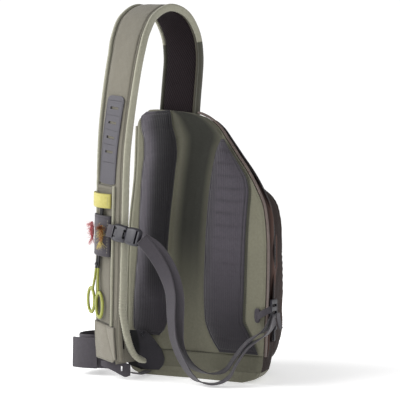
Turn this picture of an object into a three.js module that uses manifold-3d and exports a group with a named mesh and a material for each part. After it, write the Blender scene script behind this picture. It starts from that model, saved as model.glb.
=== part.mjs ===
// Fishing tackle sling bag, standing on its base.
// Millimetres, +Z up. The back panel faces -Y, the front pocket faces +Y, and +X is to the
// right of someone who looks at the back panel. The group ends with its origin at the bottom
// centre of the box round the whole bag.
import * as THREE from 'three';
import { mergeVertices } from 'three/addons/utils/BufferGeometryUtils.js';
import Module from 'manifold-3d';

const wasm = await Module();
wasm.setup();

// Driving sizes of the bag body
const packWidth = 256;
const packHeight = 452;
const shellDepth = 96;
const shellWall = 2.6;
const shellSquareness = 3.4;
const panelFace = -45;
const panelThickness = 4.4;
const channelDepth = 7;
const padThickness = 12.5;
const padRim = 2;
const baseHeight = 17;
const baseWall = 3;
const baseBackHeight = 44;
const pocketBottom = 24;
const pocketHeight = 300;
const pocketDepth = 63;
const pocketInset = 3;
const pocketCorner = 26;
const pocketSeat = 3;
const pipingRadius = 2.1;
const zipWidth = 13;
const zipThickness = 1.8;
const pullLength = 26;
const pullWidth = 7;
const pullThickness = 2.4;
const seamGap = 0.4;

// Driving sizes of the shoulder strap and of what is sewn to it
const strapWidth = 80;
const strapThickness = 9.5;
const strapReach = 126;
const strapTop = 609;
const bindingWidth = 7.5;
const bindingThickness = 12;
const liningThickness = 1.8;
const daisyWidth = 42;
const daisyTop = 455;
const daisyBottom = 318;
const daisyThickness = 1.8;
const slotWidth = 20;
const slotHeight = 3.8;
const slotCount = 4;
const slotPitch = 22.4;
const toolPanelWidth = 43;
const toolPanelTop = 316;
const toolPanelThickness = 3;
const ridgeRadius = 2.4;
const tabWidth = 23;
const tabSpan = 46;
const tabThickness = 1.8;
const patchHeight = 65;
const patchSpan = 44;
const patchThickness = 2.4;
const tabRise = 10.5;
const patchRise = 8.1;
const bootTop = 92;
const bootBottom = 31;
const bootWidth = 62;
const bootThickness = 3;
const bindingEnd = 112;

// Driving sizes of the forceps and the two flies
const forcepsLength = 200;
const forcepsTop = 300;
const shaftThickness = 4;
const shaftWidth = 5.2;
const ringWidth = 25;
const ringHeight = 46;
const ringWire = 2.6;
const ringSlip = 1.5;
const screwRadius = 3;
const forcepsClear = 2.5;
const flyLength = 34;
const flyRadius = 3.4;
const flyHeight = 240;

// Driving sizes of the webbing and the plastic parts
const waistWidth = 57;
const waistThickness = 2;
const waistFloorGap = 12;
const adjusterWidth = 20;
const adjusterThickness = 1.8;
const buckleLength = 66;
const buckleWidth = 28;
const buckleThickness = 9;
const ladderWidth = 24;
const ladderHeight = 30;
const ladderThickness = 4.6;
const ladderBar = 7.4;
const loopWidth = 10;
const loopHeight = 23;
const loopThickness = 4;
const tailLength = 24;
const wingHeight = 76;
const wingReach = 17;
const wingThickness = 2.4;
const eyeletRadius = 4.2;
const eyeletHole = 2;
const eyeletThickness = 1.6;
const bootTabThickness = 2.2;
const tabSlot = 3.8;

// Outline of the back, from the floor up: height is a share of packHeight, left and right of
// packWidth. depth is the share of shellDepth that the shell stands forward at that height.
const packRows = [
  { height: 0.0, left: -0.42, right: 0.345, depth: 0.93 },
  { height: 0.018, left: -0.482, right: 0.42, depth: 0.965 },
  { height: 0.05, left: -0.503, right: 0.455, depth: 0.985 },
  { height: 0.115, left: -0.511, right: 0.468, depth: 1.0 },
  { height: 0.22, left: -0.51, right: 0.475, depth: 1.0 },
  { height: 0.36, left: -0.506, right: 0.485, depth: 1.0 },
  { height: 0.48, left: -0.499, right: 0.489, depth: 0.98 },
  { height: 0.55, left: -0.492, right: 0.484, depth: 0.96 },
  { height: 0.62, left: -0.481, right: 0.468, depth: 0.93 },
  { height: 0.69, left: -0.465, right: 0.418, depth: 0.88 },
  { height: 0.75, left: -0.453, right: 0.36, depth: 0.82 },
  { height: 0.81, left: -0.447, right: 0.288, depth: 0.74 },
  { height: 0.87, left: -0.444, right: 0.218, depth: 0.64 },
  { height: 0.915, left: -0.441, right: 0.164, depth: 0.56 },
  { height: 0.945, left: -0.439, right: 0.104, depth: 0.5 },
  { height: 0.965, left: -0.427, right: 0.038, depth: 0.46 },
  { height: 0.98, left: -0.39, right: -0.06, depth: 0.43 },
  { height: 1.0, left: -0.355, right: -0.29, depth: 0.4 },
];

// Sides of the two back pads at each height, in the same shares
const leftPadRows = [
  { height: 0.15, left: -0.4, right: -0.262 },
  { height: 0.175, left: -0.452, right: -0.222 },
  { height: 0.21, left: -0.456, right: -0.202 },
  { height: 0.316, left: -0.447, right: -0.212 },
  { height: 0.464, left: -0.424, right: -0.202 },
  { height: 0.597, left: -0.41, right: -0.182 },
  { height: 0.69, left: -0.401, right: -0.161 },
  { height: 0.762, left: -0.391, right: -0.146 },
  { height: 0.83, left: -0.376, right: -0.132 },
  { height: 0.88, left: -0.377, right: -0.14 },
  { height: 0.935, left: -0.399, right: -0.168 },
  { height: 0.972, left: -0.402, right: -0.177 },
  { height: 0.992, left: -0.36, right: -0.185 },
];
const rightPadRows = [
  { height: 0.103, left: 0.178, right: 0.437 },
  { height: 0.14, left: 0.132, right: 0.408 },
  { height: 0.178, left: 0.098, right: 0.372 },
  { height: 0.222, left: 0.074, right: 0.336 },
  { height: 0.322, left: 0.067, right: 0.343 },
  { height: 0.466, left: 0.075, right: 0.351 },
  { height: 0.562, left: 0.085, right: 0.36 },
  { height: 0.623, left: 0.094, right: 0.369 },
  { height: 0.68, left: 0.105, right: 0.377 },
  { height: 0.72, left: 0.115, right: 0.366 },
  { height: 0.77, left: 0.13, right: 0.318 },
  { height: 0.83, left: 0.156, right: 0.248 },
  { height: 0.872, left: 0.19, right: 0.208 },
];

// Path of the strap's middle from the top of the pack, over the shoulder arch and down the
// front leg: across is a share of packWidth, out of strapReach in front of the back panel, up
// of strapTop. turn and roll, in degrees, swing and tilt the strap's width.
const strapRows = [
  { across: -0.152, out: -0.143, up: 0.747, turn: -8, roll: 7 },
  { across: -0.131, out: -0.135, up: 0.823, turn: -8, roll: 7 },
  { across: -0.116, out: -0.111, up: 0.89, turn: -9, roll: 6 },
  { across: -0.115, out: -0.02, up: 0.946, turn: -10, roll: 7 },
  { across: -0.139, out: 0.18, up: 0.992, turn: -12, roll: 9 },
  { across: -0.189, out: 0.437, up: 1.002, turn: -13, roll: 10 },
  { across: -0.228, out: 0.69, up: 0.967, turn: -14, roll: 9 },
  { across: -0.234, out: 0.873, up: 0.912, turn: -16, roll: 6 },
  { across: -0.234, out: 0.965, up: 0.864, turn: -18, roll: 5 },
  { across: -0.25, out: 1.0, up: 0.81, turn: -19, roll: 5 },
  { across: -0.299, out: 0.976, up: 0.699, turn: -21, roll: 5 },
  { across: -0.34, out: 0.913, up: 0.61, turn: -23, roll: 5 },
  { across: -0.391, out: 0.786, up: 0.4286, turn: -24, roll: 5 },
  { across: -0.442, out: 0.643, up: 0.215, turn: -26, roll: 3 },
  { across: -0.459, out: 0.587, up: 0.134, turn: -27, roll: 1 },
  { across: -0.461, out: 0.535, up: 0.05, turn: -27, roll: 0 },
];

// Path of the flared end of the strap's right binding, from the strap's edge to the pack
const tongueRows = [
  { across: -0.321, out: 0.718, up: 0.167, turn: -27, roll: 2 },
  { across: -0.317, out: 0.66, up: 0.125, turn: -24, roll: 10 },
  { across: -0.314, out: 0.55, up: 0.082, turn: -16, roll: 30 },
  { across: -0.3, out: 0.445, up: 0.06, turn: -8, roll: 46 },
  { across: -0.274, out: 0.341, up: 0.05, turn: 0, roll: 56 },
];

// Path of the wide webbing seen from above, its width upright: from behind the strap's boot,
// round to the left and back to the wing. across is a share of packWidth and out of strapReach.
const waistRows = [
  { across: -0.477, out: 0.342 },
  { across: -0.586, out: 0.352 },
  { across: -0.684, out: 0.412 },
  { across: -0.746, out: 0.4 },
  { across: -0.797, out: 0.27 },
  { across: -0.797, out: 0.056 },
  { across: -0.738, out: -0.087 },
  { across: -0.65, out: -0.103 },
  { across: -0.574, out: -0.008 },
  { across: -0.535, out: 0.056 },
];

// Path of the two layers of narrow webbing from the buckle down to the floor and up to the
// ladder lock: across of packWidth, out of strapReach, up of baseBackHeight
const frontWebRows = [
  { across: -0.088, out: 1.094, up: 5.25, turn: 30, roll: -78 },
  { across: -0.0516, out: 0.97, up: 4.805, turn: 26, roll: -48 },
  { across: -0.004, out: 0.868, up: 4.17, turn: 10, roll: -28 },
  { across: 0.015, out: 0.757, up: 3.39, turn: -10, roll: -6 },
  { across: -0.008, out: 0.643, up: 2.37, turn: -22, roll: 4 },
  { across: -0.007, out: 0.579, up: 1.64, turn: -28, roll: -4 },
  { across: 0.031, out: 0.5, up: 0.88, turn: -34, roll: -22 },
  { across: 0.092, out: 0.437, up: 0.3, turn: -46, roll: -22 },
  { across: 0.168, out: 0.413, up: 0.12, turn: -74, roll: -8 },
  { across: 0.248, out: 0.4, up: 0.14, turn: -70, roll: 0 },
  { across: 0.313, out: 0.345, up: 0.36, turn: -66, roll: 10 },
  { across: 0.356, out: 0.29, up: 0.87, turn: -66, roll: 12 },
  { across: 0.42, out: 0.24, up: 1.42, turn: -70, roll: 10 },
  { across: 0.521, out: 0.155, up: 1.88, turn: -68, roll: -17 },
  { across: 0.5335, out: -0.08, up: 2.34, turn: -90, roll: -58 },
];
const rearWebRows = [
  { across: -0.09, out: 1.062, up: 5.25, turn: 30, roll: -78 },
  { across: -0.034, out: 0.91, up: 4.91, turn: 26, roll: -48 },
  { across: 0.031, out: 0.794, up: 4.165, turn: 10, roll: -28 },
  { across: 0.05, out: 0.672, up: 3.27, turn: -4, roll: -8 },
  { across: 0.023, out: 0.548, up: 2.17, turn: -14, roll: 6 },
  { across: 0.009, out: 0.468, up: 1.43, turn: -20, roll: -8 },
  { across: 0.041, out: 0.373, up: 0.8, turn: -34, roll: -26 },
  { across: 0.109, out: 0.31, up: 0.48, turn: -50, roll: -18 },
  { across: 0.194, out: 0.262, up: 0.4, turn: -70, roll: -4 },
  { across: 0.262, out: 0.22, up: 0.54, turn: -62, roll: 10 },
  { across: 0.322, out: 0.21, up: 1.0, turn: -60, roll: 12 },
  { across: 0.402, out: 0.2, up: 1.56, turn: -66, roll: 10 },
  { across: 0.493, out: 0.15, up: 1.96, turn: -68, roll: -17 },
  { across: 0.515, out: -0.06, up: 2.28, turn: -90, roll: -58 },
];

// Black wing in front of the pack's lower left: up is a share of wingHeight, left and right of
// packWidth, and its two sides stand in front of the back panel by shares of wingReach
const wingRows = [
  { up: 0.13, left: -0.379, right: -0.262, leftOut: 0.5, rightOut: 0.03 },
  { up: 0.25, left: -0.463, right: -0.232, leftOut: 0.88, rightOut: 0.03 },
  { up: 0.37, left: -0.465, right: -0.223, leftOut: 0.96, rightOut: 0.03 },
  { up: 0.55, left: -0.464, right: -0.24, leftOut: 0.98, rightOut: 0.06 },
  { up: 0.72, left: -0.462, right: -0.27, leftOut: 1.0, rightOut: 0.26 },
  { up: 0.9, left: -0.459, right: -0.305, leftOut: 1.0, rightOut: 0.64 },
  { up: 1.0, left: -0.445, right: -0.345, leftOut: 1.0, rightOut: 0.76 },
];

// Webbing tab under the strap's boot, from left to right: across of packWidth, out of
// strapReach, and its upper and lower edges as shares of bootBottom
const bootTabRows = [
  { across: -0.543, out: 0.535, top: 0.955, low: 0.72 },
  { across: -0.508, out: 0.54, top: 0.955, low: 0.62 },
  { across: -0.457, out: 0.52, top: 0.96, low: 0.46 },
  { across: -0.414, out: 0.5, top: 0.96, low: 0.28 },
  { across: -0.38, out: 0.47, top: 0.9, low: 0.15 },
  { across: -0.355, out: 0.43, top: 0.78, low: 0.22 },
];

// Strip of webbing from that tab back to the pack's base: up is a share of baseHeight
const baseWebRows = [
  { across: -0.345, out: 0.385, up: 0.62, turn: 0, roll: 0 },
  { across: -0.35, out: 0.27, up: 0.36, turn: 0, roll: 0 },
  { across: -0.352, out: 0.14, up: 0.3, turn: 0, roll: 0 },
  { across: -0.352, out: 0.004, up: 0.34, turn: 0, roll: 0 },
];

// Meshes along the parts: how many facets each form is cut into
const outlineLevels = 15;
const sectionSteps = 15;
const strapSteps = 33;
const webSteps = 32;
const edgeSides = 6;

const degrees = Math.PI / 180;

// Materials, one per finish
function finish(color, roughness, metalness = 0) {
  return new THREE.MeshStandardMaterial({ color, roughness, metalness });
}
const sageCloth = finish(0x8f8b7c, 0.85);
const panelCloth = finish(0x7e7b6c, 0.85);
const brownCloth = finish(0x3a2f30, 0.6);
const padCloth = finish(0x4a464d, 0.8);
const meshCloth = finish(0x241f22, 0.9);
const greyWebbing = finish(0x5c565f, 0.75);
const greyLaminate = finish(0x6d6a72, 0.6);
const blackCloth = finish(0x1f1e22, 0.8);
const limeWebbing = finish(0xb9b04f, 0.7);
const greyPlastic = finish(0x6f6e76, 0.45);
const limeEnamel = finish(0xa9ad3f, 0.35, 0.3);
const darkSteel = finish(0x2a2a2c, 0.35, 0.8);
const redFeather = finish(0xb23a45, 0.9);
const orangeFeather = finish(0x8a4f26, 0.9);

// Value of a table's column at a place along its key column, on a smooth curve that never
// overshoots its rows
function column(table, key, name, place) {
  const last = table.length - 1;
  const clamped = Math.min(Math.max(place, table[0][key]), table[last][key]);
  let i = 0;
  while (i < last - 1 && clamped > table[i + 1][key]) i += 1;
  const slope = (k) => (table[k + 1][name] - table[k][name]) / (table[k + 1][key] - table[k][key]);
  const tangent = (k) => {
    if (k === 0) return slope(0);
    if (k === last) return slope(last - 1);
    const before = slope(k - 1);
    const after = slope(k);
    return before * after <= 0 ? 0 : (2 * before * after) / (before + after);
  };
  const span = table[i + 1][key] - table[i][key];
  const t = (clamped - table[i][key]) / span;
  const a = table[i][name];
  const b = table[i + 1][name];
  const risen = t * t * (3 - 2 * t);
  const startPull = t * (1 - t) * (1 - t) * span * tangent(i);
  const endPull = t * t * (t - 1) * span * tangent(i + 1);
  return a + (b - a) * risen + startPull + endPull;
}

function mix(a, b, t) {
  return a + (b - a) * t;
}

function span(count) {
  return Array.from({ length: count + 1 }, (_, i) => i / count);
}

// Closed mesh from points and triangles; it is turned right side out by its volume
function closedGeometry(points, triangles) {
  let volume = 0;
  for (const [a, b, c] of triangles) {
    volume += points[a].dot(new THREE.Vector3().crossVectors(points[b], points[c]));
  }
  const index = triangles.flatMap(([a, b, c]) => (volume < 0 ? [a, c, b] : [a, b, c]));
  const geometry = new THREE.BufferGeometry();
  geometry.setAttribute('position', new THREE.Float32BufferAttribute(points.flatMap((p) => p.toArray()), 3));
  geometry.setIndex(index);
  return geometry;
}

// Solid between two matching grids of points, walled round their shared border
function sheetSolid(face, back) {
  const rows = face.length;
  const columns = face[0].length;
  const points = [...face.flat(), ...back.flat()];
  const front = (i, j) => i * columns + j;
  const rear = (i, j) => rows * columns + i * columns + j;
  const triangles = [];
  const quad = (a, b, c, d) => triangles.push([a, b, c], [a, c, d]);
  for (let i = 0; i < rows - 1; i += 1) {
    for (let j = 0; j < columns - 1; j += 1) {
      quad(front(i, j), front(i, j + 1), front(i + 1, j + 1), front(i + 1, j));
      quad(rear(i, j), rear(i + 1, j), rear(i + 1, j + 1), rear(i, j + 1));
    }
  }
  for (let j = 0; j < columns - 1; j += 1) {
    quad(front(0, j + 1), front(0, j), rear(0, j), rear(0, j + 1));
    quad(front(rows - 1, j), front(rows - 1, j + 1), rear(rows - 1, j + 1), rear(rows - 1, j));
  }
  for (let i = 0; i < rows - 1; i += 1) {
    quad(front(i, 0), front(i + 1, 0), rear(i + 1, 0), rear(i, 0));
    quad(front(i + 1, columns - 1), front(i, columns - 1), rear(i, columns - 1), rear(i + 1, columns - 1));
  }
  return closedGeometry(points, triangles);
}

// Solid through rings of points: capped at both ends, or joined end to end when looped
function ringSolid(rings, looped = false) {
  const sides = rings[0].length;
  const points = rings.flat();
  const triangles = [];
  const joins = looped ? rings.length : rings.length - 1;
  for (let i = 0; i < joins; i += 1) {
    const here = i * sides;
    const there = ((i + 1) % rings.length) * sides;
    for (let j = 0; j < sides; j += 1) {
      const k = (j + 1) % sides;
      triangles.push([here + j, here + k, there + k], [here + j, there + k, there + j]);
    }
  }
  if (!looped) {
    const end = (rings.length - 1) * sides;
    for (let j = 1; j < sides - 1; j += 1) {
      triangles.push([0, j + 1, j], [end, end + j, end + j + 1]);
    }
  }
  return closedGeometry(points, triangles);
}

// Solid between nested rings that close on a centre point outside and inside, like a bowl
function bowlSolid(outerRings, innerRings) {
  const sides = outerRings[0].length;
  const centre = (ring) => ring
    .reduce((sum, p) => sum.add(p), new THREE.Vector3())
    .divideScalar(sides);
  const points = [...outerRings.flat(), ...innerRings.flat()];
  const innerStart = outerRings.length * sides;
  points.push(centre(outerRings[0]), centre(innerRings[0]));
  const outerCentre = points.length - 2;
  const innerCentre = points.length - 1;
  const triangles = [];
  const strip = (start, count, flip) => {
    for (let i = 0; i < count - 1; i += 1) {
      for (let j = 0; j < sides; j += 1) {
        const k = (j + 1) % sides;
        const a = start + i * sides;
        const b = a + sides;
        if (flip) triangles.push([a + j, b + k, a + k], [a + j, b + j, b + k]);
        else triangles.push([a + j, a + k, b + k], [a + j, b + k, b + j]);
      }
    }
  };
  strip(0, outerRings.length, false);
  strip(innerStart, innerRings.length, true);
  const outerRim = (outerRings.length - 1) * sides;
  const innerRim = innerStart + (innerRings.length - 1) * sides;
  for (let j = 0; j < sides; j += 1) {
    const k = (j + 1) % sides;
    triangles.push([outerCentre, k, j], [innerCentre, innerStart + j, innerStart + k]);
    triangles.push([outerRim + j, outerRim + k, innerRim + k], [outerRim + j, innerRim + k, innerRim + j]);
  }
  return closedGeometry(points, triangles);
}

function toSolid(geometry) {
  const bare = geometry.clone();
  bare.deleteAttribute('normal');
  bare.deleteAttribute('uv');
  const merged = mergeVertices(bare, 1e-4);
  return new wasm.Manifold(new wasm.Mesh({
    numProp: 3,
    vertProperties: new Float32Array(merged.attributes.position.array),
    triVerts: new Uint32Array(merged.index.array),
  }));
}

function fromSolid(solid) {
  const mesh = solid.getMesh();
  const geometry = new THREE.BufferGeometry();
  geometry.setAttribute('position', new THREE.BufferAttribute(mesh.vertProperties.slice(), 3));
  geometry.setIndex(new THREE.BufferAttribute(mesh.triVerts.slice(), 1));
  return geometry;
}

// Outline of the pack at a height above the floor
function packLeft(z) {
  return packWidth * column(packRows, 'height', 'left', z / packHeight);
}
function packRight(z) {
  return packWidth * column(packRows, 'height', 'right', z / packHeight);
}
function packDepth(z) {
  return shellDepth * column(packRows, 'height', 'depth', z / packHeight);
}

// Height of the pack's top over a place across
function packTop(x) {
  const crest = packRows[packRows.length - 1];
  if (x >= packWidth * crest.left && x <= packWidth * crest.right) return packHeight;
  const toRight = x > packWidth * crest.right;
  let low = packHeight * 0.5;
  let high = packHeight;
  for (let i = 0; i < 20; i += 1) {
    const middle = (low + high) / 2;
    const inside = toRight ? packRight(middle) > x : packLeft(middle) < x;
    if (inside) low = middle;
    else high = middle;
  }
  return (low + high) / 2;
}

// Heights between two levels, closer together near the ends
function levelsBetween(low, high, count) {
  return span(count).map((v) => mix(low, high, 0.5 - 0.5 * Math.cos(Math.PI * v)));
}

// Point of the shell's skin: the section at a height is half of a squared ellipse, turned
// through angle 0 at the right rim to pi at the left rim, inset by a wall
const shellBack = panelFace + panelThickness + seamGap;
function shellPoint(z, angle, inset = 0) {
  const half = (packRight(z) - packLeft(z)) / 2 - inset;
  const middle = (packRight(z) + packLeft(z)) / 2;
  const power = 2 / shellSquareness;
  const cos = Math.cos(angle);
  const across = Math.sign(cos) * Math.abs(cos) ** power;
  const forward = Math.abs(Math.sin(angle)) ** power;
  const depth = Math.max(packDepth(z) - inset, 0);
  return new THREE.Vector3(middle + half * across, shellBack + depth * forward, z);
}

// Depth of the shell's front at a place across and up, worked out from the same section
function shellFront(x, z) {
  const half = (packRight(z) - packLeft(z)) / 2;
  const middle = (packRight(z) + packLeft(z)) / 2;
  const share = Math.min(Math.abs((x - middle) / half), 1);
  return shellBack + packDepth(z) * (1 - share ** shellSquareness) ** (1 / shellSquareness);
}

// Brown shell: open at the back, where the back panel closes it, and at the base
function shellLevels() {
  return levelsBetween(baseHeight + seamGap, packHeight, outlineLevels);
}
function mainShell() {
  const low = baseHeight + seamGap;
  const levels = shellLevels();
  const angles = span(sectionSteps).map((v) => Math.PI * v);
  const outer = levels.map((z) => angles.map((a) => shellPoint(z, a)));
  const squeeze = (packHeight - shellWall - low) / (packHeight - low);
  const inner = levels.map((z) => angles.map((a) => {
    const point = shellPoint(z, a, shellWall);
    point.z = low + (z - low) * squeeze;
    return point;
  }));
  const topLine = angles.map((a) => shellPoint(packHeight, a).setY(shellBack));
  const underLine = angles.map((a) => shellPoint(packHeight, a, shellWall)
    .setY(shellBack)
    .setZ(packHeight - shellWall));
  return sheetSolid([...outer, topLine], [...inner, underLine]);
}

// Closed ring of the whole pack's section at a height, back face included
function packRing(z, inset = 0) {
  const back = panelFace + inset;
  const arc = span(sectionSteps).map((v) => shellPoint(z, Math.PI * v, inset));
  const left = arc[arc.length - 1].x;
  const right = arc[0].x;
  const backSteps = 4;
  const line = span(backSteps).map((v) => new THREE.Vector3(mix(left, right, v), back, z));
  return [...arc, ...line];
}

function shrunkRing(ring, share, z) {
  const centre = ring
    .reduce((sum, p) => sum.add(p), new THREE.Vector3())
    .divideScalar(ring.length);
  return ring.map((p) => new THREE.Vector3(mix(centre.x, p.x, share), mix(centre.y, p.y, share), z));
}

// Sage base: a tray with a rounded foot, whose back wall rises to the back panel's seam
function basePanel() {
  const shares = [0, 0.14, 0.45, 1];
  const floorShare = 0.5;
  const outer = shares.map((share) => packRing(baseHeight * share));
  const inner = shares.map((share) => {
    const z = baseHeight * share;
    return packRing(z, baseWall).map((p) => p.setZ(mix(baseWall, baseHeight, share)));
  });
  const low = shrunkRing(outer[0], floorShare, 0);
  const lowInner = shrunkRing(inner[0], floorShare, baseWall);
  const wallLow = baseHeight * 0.8;
  const levels = span(4).map((v) => mix(wallLow, baseBackHeight, v));
  const wallFace = (y) => levels.map((z) => span(8).map((v) => new THREE.Vector3(
    mix(packLeft(z), packRight(z), v),
    y,
    z,
  )));
  const wall = sheetSolid(wallFace(panelFace), wallFace(panelFace + baseWall));
  return fromSolid(toSolid(bowlSolid([low, ...outer], [lowInner, ...inner])).add(toSolid(wall)));
}

// Sides of a back pad at a height
function padLeft(rows, z) {
  return packWidth * column(rows, 'height', 'left', z / packHeight);
}
function padRight(rows, z) {
  return packWidth * column(rows, 'height', 'right', z / packHeight);
}

// Back panel: its margins and the ground under the pads lie flat, and the channel between the
// pads sinks in a smooth hollow
function panelSections(z) {
  const left = packLeft(z);
  const right = packRight(z);
  const clampIn = (x) => Math.min(Math.max(x, left), right);
  return {
    left,
    right,
    channelLeft: clampIn(padRight(leftPadRows, z)),
    channelRight: clampIn(padLeft(rightPadRows, z)),
  };
}

function backPanel() {
  const levels = levelsBetween(baseBackHeight + seamGap, packHeight, outlineLevels);
  const marginSteps = 2;
  const channelSteps = 7;
  const row = (z, y, hollow) => {
    const { left, right, channelLeft, channelRight } = panelSections(z);
    const start = span(marginSteps).map((v) => new THREE.Vector3(mix(left, channelLeft, v), y, z));
    const middle = span(channelSteps).slice(1, -1).map((v) => new THREE.Vector3(
      mix(channelLeft, channelRight, v),
      y + hollow * Math.sin(Math.PI * v) ** 2,
      z,
    ));
    const end = span(marginSteps).map((v) => new THREE.Vector3(mix(channelRight, right, v), y, z));
    return [...start, ...middle, ...end];
  };
  const hollowAt = (z) => {
    const { channelLeft, channelRight } = panelSections(z);
    const room = (channelRight - channelLeft) / (0.25 * packWidth);
    return Math.min(channelDepth, channelDepth * room) * 0.55;
  };
  const face = levels.map((z) => row(z, panelFace, hollowAt(z)));
  const back = levels.map((z) => row(z, panelFace + panelThickness, 0));
  return sheetSolid(face, back);
}

// Moulded back pad: crowned between its sides and ends
function backPad(rows) {
  const low = packHeight * rows[0].height;
  const high = packHeight * rows[rows.length - 1].height;
  const upSteps = 14;
  const acrossSteps = 8;
  const ground = panelFace - seamGap;
  const levels = levelsBetween(low, high, upSteps);
  const grid = (depthAt) => levels.map((z, i) => span(acrossSteps).map((v) => {
    const eased = 0.5 - 0.5 * Math.cos(Math.PI * v);
    const x = mix(padLeft(rows, z), padRight(rows, z), eased);
    return new THREE.Vector3(x, ground - depthAt(eased, i / upSteps), z);
  }));
  const crown = (share, power) => (1 - Math.abs(2 * share - 1) ** power) ** 0.5;
  const face = grid((u, v) => padRim + (padThickness - padRim) * crown(u, 3) * crown(v, 6));
  return sheetSolid(face, grid(() => 0));
}

// Front pocket: a crowned cup whose rim follows the shell's front
function pocketSides(v) {
  const z = pocketBottom + pocketHeight * v;
  const corner = 0.12;
  const rounding = Math.min(v, 1 - v) / corner;
  const pull = rounding < 1 ? 1 - Math.sqrt(1 - (1 - rounding) ** 2) : 0;
  const inset = pocketInset + pull * pocketCorner;
  return { z, left: packLeft(z) + inset, right: packRight(z) - inset };
}

// Point of the pocket's skin at shares across and up, moved in by a wall
function pocketPoint(across, rise, wall = 0) {
  const { z, left, right } = pocketSides(rise);
  const x = mix(left, right, across) + wall * (1 - 2 * across);
  const height = z + wall * (1 - 2 * rise);
  const bulge = (share) => (1 - Math.abs(2 * share - 1) ** 6) ** 0.36;
  const lift = (pocketDepth - wall) * bulge(across) * bulge(rise);
  return new THREE.Vector3(x, shellFront(x, height) + lift - pocketSeat, height);
}

function frontPocket() {
  const upSteps = 12;
  const acrossSteps = 12;
  const ease = (v) => 0.5 - 0.5 * Math.cos(Math.PI * v);
  const grid = (wall) => span(upSteps).map((v) => span(acrossSteps).map((u) => pocketPoint(ease(u), ease(v), wall)));
  const bed = ringSolid(shellLevels().map((z) => packRing(z, -seamGap)));
  return fromSolid(toSolid(sheetSolid(grid(0), grid(shellWall))).subtract(toSolid(bed)));
}

// Side of the pack's outline, seen from the back, as points and outward directions
function outlineSide(side, low, high, steps) {
  const edge = side > 0 ? packRight : packLeft;
  const line = levelsBetween(low, high, steps).map((z) => new THREE.Vector3(edge(z), 0, z));
  return line.map((point, i) => {
    const before = line[Math.max(i - 1, 0)];
    const after = line[Math.min(i + 1, steps)];
    const along = new THREE.Vector3().subVectors(after, before).normalize();
    return { point, out: new THREE.Vector3(along.z * side, 0, -along.x * side) };
  });
}

// Piping of the seam between the back panel and the shell: a cord that lies in the corner
function edgePiping(side, top) {
  const outward = pipingRadius + 2.5 * seamGap;
  const y = panelFace + panelThickness;
  const line = outlineSide(side, baseBackHeight + seamGap, packHeight * top, 14);
  return ringSolid(line.map(({ point, out }) => {
    const centre = point.clone().setY(y).addScaledVector(out, outward);
    return roundSection(edgeSides, pipingRadius).map(([a, b]) => centre.clone()
      .addScaledVector(out, a)
      .add(new THREE.Vector3(0, b, 0)));
  }));
}

// Zip on the shell's right side: a strip that follows the side's skin and its outline
const zipShare = 0.34;
function mainZip() {
  const line = outlineSide(1, packHeight * 0.14, packHeight * 0.945, 15);
  const rest = (point, v) => {
    const z = point.z;
    const half = (packRight(z) - packLeft(z)) / 2;
    const forward = packDepth(z) * zipShare + zipWidth * (v - 0.5);
    const share = (forward / packDepth(z)) ** shellSquareness;
    return { y: shellBack + forward, drop: half * (1 - (1 - share) ** (1 / shellSquareness)) };
  };
  const grid = (lift) => line.map(({ point, out }) => span(3).map((v) => {
    const { y, drop } = rest(point, v);
    const base = point.clone().setX(point.x - drop).setY(y);
    return base.addScaledVector(out, seamGap + 0.8 + lift);
  }));
  return sheetSolid(grid(zipThickness), grid(0));
}

// Zip across the upper face of the pocket
const pocketZipRise = 0.78;
function pocketZip() {
  const rise = (v) => pocketZipRise + (zipWidth / pocketHeight) * (v - 0.5);
  const lift = new THREE.Vector3(0, seamGap + 0.5, 0);
  const grid = (thickness) => span(2).map((v) => span(12).map((u) => pocketPoint(mix(0.16, 0.84, u), rise(v))
    .add(lift)
    .add(new THREE.Vector3(0, thickness, 0))));
  return sheetSolid(grid(zipThickness), grid(0));
}

// Zip pull: a rounded tab that hangs from its slider, drawn in its own frame
function zipPull(centre, across, out) {
  const down = new THREE.Vector3(0, 0, -1);
  const levels = [0, 0.06, 0.24, 0.34, 0.9, 1];
  const widths = [0.7, 1, 1, 0.6, 0.75, 0.5];
  const deep = [1.5, 2.2, 2.2, 1, 1, 0.7];
  return ringSolid(levels.map((v, i) => flatSection(pullWidth * widths[i], pullThickness * deep[i], 0.6)
    .map(([a, o]) => centre.clone()
      .addScaledVector(down, pullLength * v)
      .addScaledVector(across, a)
      .addScaledVector(out, o + (pullThickness * deep[i]) / 2))));
}

// Frames along a path of rows: a point, the direction of the width and the direction outwards
function pathFrames(points, rows, steps, from = 0, to = 1) {
  const curve = new THREE.CatmullRomCurve3(points, false, 'centripetal');
  const last = rows.length - 1;
  const keyed = rows.map((row, i) => ({ ...row, place: i / last }));
  return span(steps).map((v) => {
    const place = mix(from, to, v);
    const centre = curve.getPoint(place);
    const along = curve.getTangent(place);
    const turn = column(keyed, 'place', 'turn', place) * degrees;
    const roll = column(keyed, 'place', 'roll', place) * degrees;
    const across = new THREE.Vector3(
      Math.cos(turn) * Math.cos(roll),
      Math.sin(turn) * Math.cos(roll),
      -Math.sin(roll),
    );
    across.addScaledVector(along, -across.dot(along)).normalize();
    const out = new THREE.Vector3().crossVectors(across, along).negate();
    return { centre, along, across, out };
  });
}

function framePoint(frame, across, out) {
  return frame.centre.clone().addScaledVector(frame.across, across).addScaledVector(frame.out, out);
}

// Rounded rectangular section, as places across and out
function flatSection(width, thickness, corner = 0.5) {
  const w = width / 2;
  const t = thickness / 2;
  const c = Math.min(w, t) * corner;
  return [
    [-w + c, -t], [w - c, -t], [w, -t + c], [w, t - c],
    [w - c, t], [-w + c, t], [-w, t - c], [-w, -t + c],
  ];
}

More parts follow.
